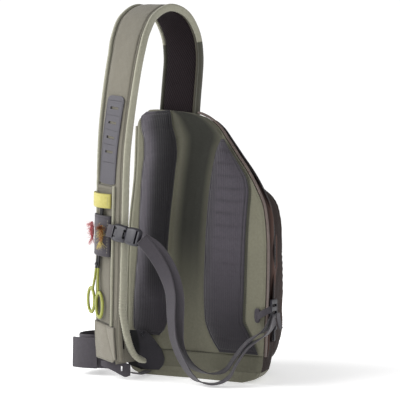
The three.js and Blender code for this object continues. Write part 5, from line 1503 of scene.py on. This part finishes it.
def make_boot():
    """Boot at the strap's foot with its sewn edges and gusset, and the roll that flares out beside it."""
    across = BOOT_ACROSS
    out = BINDING_THICKNESS / 2 + SEAM_GAP
    face, frames = patch_grid(BOOT_TOP, BOOT_BOTTOM, 70, BOOT_WIDTH, across, across, out, 90)
    i, j = np.linspace(0, 1, 70)[:, None], np.linspace(0, 1, 90)[None]
    crease = np.exp(-((j - (0.6 + 0.34 * i)) / 0.04) ** 2)
    face = face + np.array([0, 0, 7.0]) * (i ** 2 * smooth(0.8, 1, j))[..., None]
    bulge = 1.6 * np.sin(np.pi * i) ** 0.8 * np.sin(np.pi * np.clip(j * 1.25, 0, 1)) ** 0.8
    face = face + frames[3][:, None] * (bulge - 0.9 * crease)[..., None]
    plate("boot_panel", face, frames, 2.9, SAGE_LIT_COPY, "sage_cloth", "strap_boot", 2.2, 55, 0.35)
    edge_row("boot_top_a", face, frames, 3.0, 4.0, THREAD_SAGE, "sage_cloth", "top")
    edge_row("boot_low_a", face, frames, 3.0, 4.0, THREAD_SAGE, "sage_cloth", "bottom")
    edge_row("boot_left_a", face, frames, 3.0, 4.0, THREAD_SAGE, "sage_cloth", "left")
    places = np.linspace(0, 1, 260)
    frames = flare_frames(places)
    walked = lengths(frames[0], 0)
    swell = 1.0 + 0.06 * np.sin(2 * np.pi * walked / 4.6)
    a, o = round_profile(1, 1, 30, 0.75)
    wide = swell * np.interp(places, [0, 0.3, 0.6, 0.85, 1], [7.5, 8.6, 11.0, 12.0, 8.0])
    deep = swell * np.interp(places, [0, 0.3, 0.6, 0.85, 1], [12.0, 11.6, 10.5, 8.5, 5.0])
    p = carried(frames, a[None] * wide[:, None], o[None] * deep[:, None])
    piece = loft("strap_flare", rounded_ends(p, 2.4))
    dress(piece, SAGE_EDGE, "sage_cloth", "strap_tongue")
    v = np.linspace(0, 1, 60)
    edge = leg_frames(100 - 70 * v)
    near = carried(edge, np.full((60, 1), 22.0), np.full((60, 1), 7.4))[:, 0]
    far_frames = flare_frames(0.22 + 0.7 * v)
    far = far_frames[0] + far_frames[3] * 0.5
    u = np.linspace(0, 1, 40)[None, :, None]
    face = near[:, None] * (1 - u) + far[:, None] * u
    sag = np.sin(np.pi * u[..., 0]) * (1.5 + 2.0 * v[:, None])
    tuck = 1.2 * np.exp(-((u[..., 0] - 0.35 - 0.3 * v[:, None]) / 0.1) ** 2)
    face = face - edge[3][:, None] * (sag + tuck)[..., None]
    gusset = loft("boot_gusset", slab(face, face - edge[3][:, None] * 1.8))
    # Painted shade, growing toward the flare and downward.
    depth = np.clip(0.1 + 0.75 * u[..., 0] ** 0.8 * (0.4 + 0.6 * v[:, None]), 0, 1)
    set_painted_shade(gusset, slab(depth, depth))
    dress(gusset, SAGE_LIT_COPY, "sage_cloth")
    line = carried(frames, (-0.3 * wide)[:, None], (0.42 * deep)[:, None])[8:-8, 0]
    dress(stitches("strap_flare_stitch", line, frames[3][8:-8], 3.2, 2.1, 0.5), THREAD_SAGE, "sage_cloth")


# Webbing

def upright_frames(rows, count, width, bottom):
    """Frames of webbing that stands on edge: its width is upright and its path lies level."""
    table = np.column_stack([rows[:, 0], rows[:, 1], 0 * rows[:, 0], 0 * rows[:, 0], -90 + 0 * rows[:, 0]])
    centre, along, across, out = path_frames(table, 1.0, np.linspace(0, 1, count))
    centre = centre.copy()
    centre[:, 2] = bottom + width / 2
    return centre, along, across, out


def make_waist():
    """Waist webbing on edge and its free end, with selvages and a slight sag."""
    for name, rows, node, count, width in (
        ("waist_belt", WAIST, "waist_webbing", 240, WAIST_WIDTH),
        ("waist_belt_end", WAIST_END, "webbing_tail", 90, WAIST_END_WIDTH)
    ):
        frames = upright_frames(rows, count, width, WAIST_FLOOR_GAP)
        a, o = flat_profile(width - 0.6, 1.8, 14, 26)
        share = (2 * a / width)[None]
        walked = lengths(frames[0], 0)[:, None]
        selvage = 0.28 * np.exp(-((np.abs(share) - 0.9) / 0.05) ** 2)
        sag = 0.5 * np.sin(walked / 31 + 1.2 * share) * share
        p = carried(frames, a, o[None] * (1 + selvage) + sag)
        dress(loft(name, rounded_ends(p, 0.7)), GREY_WEB, "grey_webbing", node)
        if node == "webbing_tail":
            line = carried(
                frames, np.linspace(-width / 2 + 4, width / 2 - 4, 60)[None], np.full((1, 60), 1.1)
            )[14]
            dress(
                stitches("waist_fold_stitch", line, np.tile(frames[3][14], (60, 1)), 2.6, 1.8, 0.5),
                THREAD_DARK, "grey_webbing"
            )


def make_adjusters():
    """Two layers of narrow webbing that hang from the buckle to the ladder lock."""
    for name, rows, node in (
        ("sling_web_front", FRONT_WEB, "adjuster_web_front"),
        ("sling_web_rear", REAR_WEB, "adjuster_web_rear")
    ):
        frames = path_frames(rows, BASE_BACK, np.linspace(0, 1, 300))
        a, o = flat_profile(ADJUSTER_WIDTH, ADJUSTER_THICKNESS, 12, 22)
        share = (2 * a / ADJUSTER_WIDTH)[None]
        selvage = 0.25 * np.exp(-((np.abs(share) - 0.86) / 0.08) ** 2)
        p = carried(frames, a, o[None] * (1 + selvage))
        dress(loft(name, rounded_ends(p, 0.6)), GREY_WEB, "grey_webbing", node)


def make_small_webbing():
    """Short webbing: base strip, slotted tab under the boot, anchor loop and the lock's loose end."""
    frames = path_frames(BASE_WEB, BASE_HEIGHT, np.linspace(0, 1, 90))
    dress(
        swept("base_strip", frames, flat_profile(15.6, 1.7, 12, 18), 0, 0, 0.6), GREY_WEB, "grey_webbing",
        "base_web"
    )
    keyed = np.column_stack([np.linspace(0, 1, len(BOOT_TAB)), BOOT_TAB])
    u = lines_between(0, 1, np.array([0.635, 0.685]), 0.02)
    v = lines_between(0, 1, np.array([0.32, 0.68]), 0.08)
    uu, vv = np.meshgrid(u, v)
    at = lambda k: column(keyed, k, uu)
    p = np.stack(
        [PACK_WIDTH * at(1), PANEL_FACE - STRAP_REACH * at(2) - 1.1, 31 * (at(4) * (1 - vv) + at(3) * vv)],
        -1
    )
    p[..., 1] += 0.25 * ripples(p, 22, 64)
    holed(
        "boot_flap", p, u, v, [(0.635, 0.685, 0.32, 0.68)], 2.0, GREY_WEB, "grey_webbing", "boot_tab",
        np.array([0, -1.0, 0])
    )
    low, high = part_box("anchor_loop")
    centre = np.array([(low.x + high.x) / 2, (low.y + high.y) / 2, (low.z + high.z) / 2]) * 1000 - OFFSET
    w = np.linspace(0, np.pi, 40)
    ring_z = centre[2] - 11.5 * np.cos(w)
    a, o = flat_profile(10, 4, 5, 16)
    swell = np.sin(w) ** 0.5
    p = np.stack(
        [
            centre[0] + a[None] * swell[:, None], centre[1] + o[None] * (0.5 + 0.5 * swell[:, None]),
            np.broadcast_to(ring_z[:, None], (40, len(a)))
        ],
        -1
    )
    dress(loft("anchor_bight", p[2:-2]), GREY_WEB, "grey_webbing", "anchor_loop")
    low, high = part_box("anchor_tail")
    v = np.linspace(0, 1, 50)
    top = high.z * 1000
    x = low.x * 1000 - OFFSET[0] + 0.9 + 5 * v * v
    y = (low.y + high.y) / 2 * 1000 - OFFSET[1]
    a, o = flat_profile(16.6, 1.7, 12, 18)
    p = np.stack(
        [x[:, None] + o[None], y + a[None] + 0 * v[:, None], (top - 24 * v)[:, None] + 0 * a[None]], -1
    )
    dress(loft("anchor_end", rounded_ends(p, 0.6)), GREY_WEB, "grey_webbing", "anchor_tail")


def make_anchor_strip():
    """Short flat webbing from the anchor on the back over the pack's edge to the ladder lock."""
    points = np.array(
        [(110.5, -47.8, 106), (117, -50.2, 110), (124.5, -48.6, 114.5), (129.4, -40, 118), (131, -32, 121)],
        float
    )
    centre, along = catmull(points, np.linspace(0, 1, 90))
    across = unit(
        np.array([[-0.28, 0.1, 0.95]]) - along * (
            np.array([[-0.28, 0.1, 0.95]]) * along
        ).sum(1, keepdims=True)
    )
    frames = (centre, along, across, -np.cross(across, along))
    dress(swept("anchor_strip", frames, flat_profile(10.0, 1.7, 12, 18), 0, 0, 0.6), GREY_WEB, "grey_webbing")


def make_wing():
    """Black wing: a sheet between two sides, rippled inside, with stitches and an eyelet ring."""
    v = 0.13 + 0.87 * ease(90)[:, None]
    u = np.linspace(0, 1, 90)[None]
    left, right = column(WING, 1, v), column(WING, 2, v)
    out = column(WING, 3, v) * (1 - u) + column(WING, 4, v) * u
    sideways = PACK_WIDTH * (left * (1 - u) + right * u)
    p = np.stack([sideways, PANEL_FACE - WING_REACH * out - 0.3, WING_HEIGHT * v + 0 * u], -1)
    inner = np.sin(np.pi * u) * np.sin(np.pi * ease(90)[:, None])
    p[..., 1] += inner * (1.3 * ripples(p, 45, 70) + 0.9 * creases(p, 60, 71, (1, 1, 1.4)))
    p[..., 1] = np.minimum(p[..., 1], PANEL_FACE - 0.9)
    face = p - np.array([0, 1.5, 0])
    piece = loft("wing_cloth", slab(face, p))
    # Painted shade on the wing's left part, the shaded inside of its fold.
    fold = 1 - smooth(0.42, 0.5, u + 0.25 * (1 - v))
    set_painted_shade(piece, slab(0.9 * fold + 0 * v, 0 * fold + 0 * v))
    dress(piece, BLACK, "black_cloth", "wing")
    for k, label in ((4, "left"), (85, "right")):
        dress(
            stitches("wing_stitch_" + label, face[6:-4, k], np.tile([0, -1.0, 0], (80, 1)), 3.2, 2.0, 0.5),
            THREAD_DARK, "black_cloth"
        )
    low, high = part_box("eyelet")
    centre = np.array([(low.x + high.x) / 2, (low.y + high.y) / 2, (low.z + high.z) / 2]) * 1000 - OFFSET
    w = np.linspace(0, 2 * np.pi, 40, endpoint=False)
    a, o = round_profile(2.2, 1.6, 12, 0.9)
    ring = np.stack([np.cos(w), 0 * w, np.sin(w)], -1)
    p = centre + ring[:, None] * (3.1 + a[None, :, None]) + np.array([0, 1.0, 0]) * o[None, :, None]
    dress(loft("eyelet_ring", p, looped=True), DARK_STEEL, "dark_metal", "eyelet")


# Plastic and metal parts

def softened(node, name, material, slot, width=0.6, segments=2):
    """Copy of a hard node, merged, with its edges rounded over."""
    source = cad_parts[node]
    piece = bpy.data.objects.new(name, source.data.copy())
    bpy.context.collection.objects.link(piece)
    piece.data.materials.clear()
    merge(piece, 1e-6)
    bevel = piece.modifiers.new("edges", "BEVEL")
    bevel.width = width / 1000
    bevel.segments = segments
    bevel.limit_method = "ANGLE"
    bevel.angle_limit = math.radians(35)
    piece.data.polygons.foreach_set("use_smooth", np.ones(len(piece.data.polygons), bool))
    piece.data.set_sharp_from_angle(angle=math.radians(60))
    return dress(piece, material, slot, node)


def make_buckle_details():
    """Near-black blobs laid on the buckle's outer face, as painted shade where the slots between its halves
    are.
    """
    clouds = []
    for node in ("buckle_female", "buckle_male"):
        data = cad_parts[node].data
        v = np.zeros(len(data.vertices) * 3)
        data.vertices.foreach_get("co", v)
        clouds.append(v.reshape(-1, 3) * 1000 - OFFSET)
    first, second = (c.mean(0) for c in clouds)
    joined = np.vstack(clouds)
    axes = np.linalg.svd(joined - joined.mean(0), full_matrices=False)[2]
    face = axes[2] if axes[2][1] < 0 else -axes[2]
    along = unit(second - first - face * ((second - first) @ face))
    side = np.cross(face, along)
    top = ((clouds[0] - first) @ face).max()
    reach = ((clouds[0] - first) @ along).max()
    ring = np.linspace(0, 2 * np.pi, 28, endpoint=False)
    bend = lambda v: np.sign(v) * np.abs(v) ** 0.7
    for k, (a, b, long, wide) in enumerate(
        (
            (reach - 2.4, 5.2, 2.6, 2.0), (reach - 2.4, -5.2, 2.6, 2.0), (reach - 3.4, 0.0, 1.3, 3.4),
            (-reach + 4.0, 6.4, 3.2, 0.9), (-reach + 4.0, -6.4, 3.2, 0.9)
        )
    ):
        centre = first + along * a + side * b + face * (top - 0.25)
        scales = np.array([0.9, 1.0, 0.82])
        rises = np.array([-0.5, 0.0, 0.45])
        p = (centre + along * (long * bend(np.cos(ring)))[None, :, None] * scales[:, None, None]
             + side * (
                 wide * bend(np.sin(ring))
             )[None, :, None] * scales[:, None, None] + face * rises[:, None, None])
        # Each blob is painted shade in place of a slot's shadow.
        dress(loft(f"buckle_slot_shade_{k}", p), SLOT_SHADE, "grey_plastic")


def make_fittings():
    """Plastic fittings and zip pulls, from their own hard nodes."""
    softened("buckle_female", "buckle_socket", PLASTIC, "grey_plastic", 0.7)
    softened("buckle_male", "buckle_prongs", PLASTIC, "grey_plastic", 0.6)
    softened("ladder_lock", "ladder_lock_frame", PLASTIC, "grey_plastic", 1.1, 3)
    softened("buckle_stub", "buckle_web_end", GREY_WEB, "grey_webbing", 0.3)
    softened("main_pull", "side_zip_pull", PLASTIC, "grey_plastic", 0.5)
    softened("pocket_pull", "front_zip_pull", PLASTIC, "grey_plastic", 0.5)


FORCEPS_OUT = TOOL_FACE + 2.5 + 2.0
FORCEPS = np.array([(0, 1.4, 0), (.34, 1.7, -5), (.48, 1.7, -9), (.62, 2.6, -14), (.8, 6.8, -19)])


def make_forceps():
    """Arms: a rounded section along each half's line, steel above, coated below, with a long ring each."""
    for side, label in ((-1, "left"), (1, "right")):
        place = np.linspace(0, 0.8, 130)
        frames = leg_frames(FORCEPS_TOP - FORCEPS_LENGTH * place)
        across = FORCEPS_ACROSS + side * 1.3 * column(FORCEPS, 1, place) + column(FORCEPS, 2, place)
        thick = np.interp(place, [0, 0.05, 0.3, 0.5, 0.56, 0.62, 0.8], [0.7, 1.05, 1.15, 1.2, 1.5, 1.1, 1.25])
        a, o = round_profile(3.2, 3.6, 16, 0.8)
        p = carried(
            frames, across[:, None] + a[None] * thick[:, None],
            FORCEPS_OUT + o[None] * np.minimum(thick, 1.1)[:, None]
        )
        arm = loft(f"forceps_shaft_{label}", rounded_ends(p, 1.0))
        arm.data.materials.append(BLACK_STEEL)
        arm.data.materials.append(LIME_ENAMEL)
        heights = np.zeros(len(arm.data.polygons) * 3)
        arm.data.polygons.foreach_get("center", heights)
        coated = heights.reshape(-1, 3)[:, 2] * 1000 < FORCEPS_TOP - FORCEPS_LENGTH * 0.585
        arm.data.polygons.foreach_set("material_index", coated.astype(np.int32))
        dress(arm, LIME_ENAMEL, "lime_enamel", "forceps_arm_" + label)
        frame_ = leg_frames(np.array([FORCEPS_TOP - FORCEPS_LENGTH * 0.885]))
        centre = (
            frame_[0][0] + frame_[2][0] * (FORCEPS_ACROSS - 19 + side * 12.9)
            + frame_[3][0] * FORCEPS_OUT + frame_[1][0] * side * 1.5
        )
        w = np.linspace(0, 2 * np.pi, 72, endpoint=False)
        outward = frame_[2][0] * np.cos(w)[:, None] + frame_[1][0] * np.sin(w)[:, None]
        middle = centre + frame_[2][0] * (9.9 * np.cos(w))[:, None] + frame_[1][0] * (
            20.4 * np.sin(w)
        )[:, None]
        a, o = round_profile(6.0, 4.6, 16, 0.95)
        ring = middle[:, None] + outward[:, None] * a[None, :, None] + frame_[3][0] * o[None, :, None]
        dress(loft(f"forceps_ring_{label}", ring, looped=True), LIME_ENAMEL, "lime_enamel")
    softened("forceps_screw", "forceps_pivot", DARK_STEEL, "dark_metal", 0.4)


def fibres(name, roots, tips, width, material, slot, bend=0.15, seed=3):
    """Tuft: each fibre is a three sided spine from root to tip that droops by a share of its length."""
    rng = np.random.default_rng(seed)
    span = tips - roots
    size = np.linalg.norm(span, axis=1, keepdims=True)
    side = unit(np.cross(span, rng.normal(size=span.shape)))
    other = unit(np.cross(span, side))
    s = np.array([0, 0.35, 0.7, 1.0])
    droop = side * size * bend
    spine = roots[:, None] + span[:, None] * s[None, :, None] + droop[:, None] * (s * s)[None, :, None]
    swell = width / 2 * np.array([1, 0.8, 0.55, 0.12])
    w = np.array([0, 2.094, 4.189])
    ring = side[:, None, None] * np.cos(w)[
        None, None, :, None
    ] + other[:, None, None] * np.sin(w)[None, None, :, None]
    p = spine[:, :, None] + ring * swell[None, :, None, None]
    quads = grid_faces(4, 3, True)
    cap = np.array([[2, 1, 0], [9, 10, 11]])
    if volume(p[0].reshape(-1, 3), quads) < 0:
        quads, cap = quads[:, ::-1], cap[:, ::-1]
    shift = (np.arange(len(roots)) * 12)[:, None, None]
    points = p.reshape(-1, 3)
    piece = mesh_piece(
        name, points, [(quads[None] + shift).reshape(-1, 4), (cap[None] + shift).reshape(-1, 3)],
        np.zeros((len(points), 2)), None
    )
    return dress(piece, material, slot)


def make_fly(name, node, across, out, tilt, body, hackle, bright, slot, seed):
    """Fly: a wound spindle body on a bent hook, with fibres that stand out round its neck and tail."""
    f = leg_frames(np.array([float(FLY_HEIGHT)]))
    centre0, along, face = f[0][0], f[1][0], f[3][0]
    t = math.radians(tilt)
    along = along * math.cos(t) + np.cross(face, along) * math.sin(t)
    side = np.cross(along, face)
    centre = centre0 + f[2][0] * across + face * out
    s = np.linspace(0, 1, 120)
    radius = 3.0 * (
        0.2 + 0.8 * np.sin(np.pi * (0.06 + 0.88 * s))
    ) * (1 + 0.12 * np.abs(np.sin(2 * np.pi * s * 11)))
    w = np.linspace(0, 2 * np.pi, 18, endpoint=False)
    ring = side * np.cos(w)[:, None] + face * np.sin(w)[:, None]
    p = centre + along * (30 * (s - 0.5))[:, None, None] + ring[None] * radius[:, None, None]
    dress(loft(name + "_body", p), body, slot, node)
    bend = np.array([(13, -0.6), (16, -1.5), (17.5, -3), (16, -4.8), (12.5, -5.0), (9, -4.4)])
    hook_line, tangent = catmull(
        centre + along * bend[:, :1] + face * bend[:, 1:2] * 0.35 + side * bend[:, 1:2] * 0.9,
        np.linspace(0, 1, 60)
    )
    across_ = unit(np.cross(tangent, face))
    up = np.cross(tangent, across_)
    thin = np.linspace(1, 0.35, 60)[:, None, None] * 0.42
    w8 = np.linspace(0, 2 * np.pi, 8, endpoint=False)
    tube = hook_line[:, None] + thin * (
        across_[:, None] * np.cos(w8)[None, :, None] + up[:, None] * np.sin(w8)[None, :, None]
    )
    dress(loft(name + "_hook", tube), DARK_STEEL, "dark_metal")
    rng = np.random.default_rng(seed)
    for label, count, where, spread, length, width, material in (
        ("hackle", 130, -11.0, 3.0, 9.5, 0.4, hackle),
        ("rib", 100, 0.0, 10.0, 5.4, 0.36, body),
        ("tail", 60, 12.5, 1.5, 12.5, 0.45, bright),
        ("glint", 70, -2.0, 11.0, 10.5, 0.42, bright),
    ):
        angle = rng.uniform(-0.35, math.pi + 0.35, count)
        radial = side * np.cos(angle)[:, None] + face * np.sin(angle)[:, None]
        start = centre + along * (where + rng.normal(size=count) * spread * 0.5)[:, None] + radial * 2.0
        lean = {"hackle": 0.25, "tail": 2.0}.get(label, 0.5)
        direction = unit(radial + along * lean + 0.28 * rng.normal(size=(count, 3)))
        reach = length * rng.uniform(0.6, 1.1, count)[:, None]
        fibres(f"{name}_{label}", start, start + direction * reach, width, material, slot, 0.16, seed + count)


# Room, light and camera

def make_stage():
    """Pale floor that glows by emission, a painted light that is dimmer near the bag and white farther away,
    wide enough for every view.
    """
    u = np.linspace(-2600, 2600, 3)
    x, y = np.meshgrid(u, u, indexing="ij")
    mesh = bpy.data.meshes.new("floor")
    points = np.stack([x, y, 0 * x - 0.05], -1).reshape(-1, 3) / 1000
    mesh.from_pydata(points.tolist(), [], grid_faces(3, 3)[:, ::-1].tolist())
    floor = bpy.data.objects.new("floor", mesh)
    bpy.context.collection.objects.link(floor)
    material, tree, shader = finish_material("pale_floor", 0.9)
    dye = placed(tree, MOTTLE, object_place(tree), Coarse=3.0, Fine=40.0)
    tree.links.new(
        blended(
            tree, maths(tree, "MULTIPLY", dye.outputs["Cloud"], 0.1), (0.93, 0.93, 0.93, 1),
            (0.9, 0.9, 0.9, 1)
        ),
        shader.inputs["Base Color"]
    )
    # Painted light: the floor glows, from grey near its middle to full white farther out.
    reach = tree.nodes.new("ShaderNodeVectorMath")
    reach.operation = "LENGTH"
    tree.links.new(object_place(tree), reach.inputs[0])
    far = tree.nodes.new("ShaderNodeMapRange")
    far.inputs["From Min"].default_value = 0.25
    far.inputs["From Max"].default_value = 1.1
    tree.links.new(reach.outputs["Value"], far.inputs["Value"])
    tree.links.new(
        blended(tree, far.outputs["Result"], (0.44, 0.44, 0.44, 1), (1, 1, 1, 1)),
        shader.inputs["Emission Color"]
    )
    shader.inputs["Emission Strength"].default_value = 1.0
    mesh.materials.append(material)


def make_light(name, where, target, size, power, colour=(1, 1, 1)):
    """Area light aimed at a point."""
    data = bpy.data.lights.new(name, "AREA")
    data.shape = "RECTANGLE"
    data.size, data.size_y = size
    data.energy = power
    data.color = colour
    lamp = bpy.data.objects.new(name, data)
    lamp.location = (np.array(where) + OFFSET) / 1000
    away = Vector(np.array(target, float) - np.array(where, float))
    lamp.rotation_euler = away.to_track_quat("-Z", "Y").to_euler()
    bpy.context.collection.objects.link(lamp)


def make_view():
    """Camera at the photograph's angle: 72 mm lens, 26 degrees to the right of the back's middle."""
    data = bpy.data.cameras.new("view")
    data.lens = 72
    data.sensor_width = 36
    data.clip_end = 30
    camera = bpy.data.objects.new("view", data)
    camera.location = (np.array([590.2, -1236.9, 245.0]) + OFFSET) / 1000
    camera.rotation_euler = (math.radians(92.15), 0, math.radians(26))
    bpy.context.collection.objects.link(camera)
    bpy.context.scene.camera = camera
    bpy.context.scene.view_settings.view_transform = "Standard"
    world = bpy.data.worlds.new("studio")
    world.use_nodes = True
    world.node_tree.nodes["Background"].inputs[0].default_value = (1, 1, 1, 1)
    tree = world.node_tree
    seen = tree.nodes.new("ShaderNodeLightPath")
    strength = maths(tree, "ADD", maths(tree, "MULTIPLY", seen.outputs["Is Camera Ray"], 0.7), 0.36)
    tree.links.new(strength, tree.nodes["Background"].inputs[1])
    bpy.context.scene.world = world
    make_light("key", (-1250, -900, 1150), (-20, 0, 260), (1.5, 1.5), 42)
    make_light("fill", (1100, -1100, 700), (0, 0, 200), (1.0, 1.2), 5)
    make_light("back", (1300, 700, 900), (0, 30, 250), (0.8, 1.2), 3)


make_view()
make_stage()
make_shell()
make_base()
make_back_panel()
make_pad("back_pad_left", LEFT_PAD, "pad_left", 2)
make_pad("back_pad_right", RIGHT_PAD, "pad_right", 3)
make_pocket()
make_piping(-1, 0.94, "edge_cord_left", "piping_left")
make_piping(1, 0.97, "edge_cord_right", "piping_right")
make_zips()
make_strap()
make_binding(-1)
make_binding(1)
make_lining()
make_daisy()
make_tool_panel()
make_bands()
make_boot()
make_waist()
make_adjusters()
make_small_webbing()
make_anchor_strip()
make_wing()
make_fittings()
make_buckle_details()
make_forceps()
make_fly(
    "red_fly", "fly_red", -37.2, TOOL_FACE + 5.4, 4, RED_FIBRE, PINK_FIBRE, PINK_FIBRE, "red_feather", 81
)
make_fly(
    "orange_fly", "fly_orange", 1.0, TOOL_FACE + PATCH_RISE + 4.6, 0, RUST_FIBRE, RUST_FIBRE, GOLD_FIBRE,
    "orange_feather", 82
)
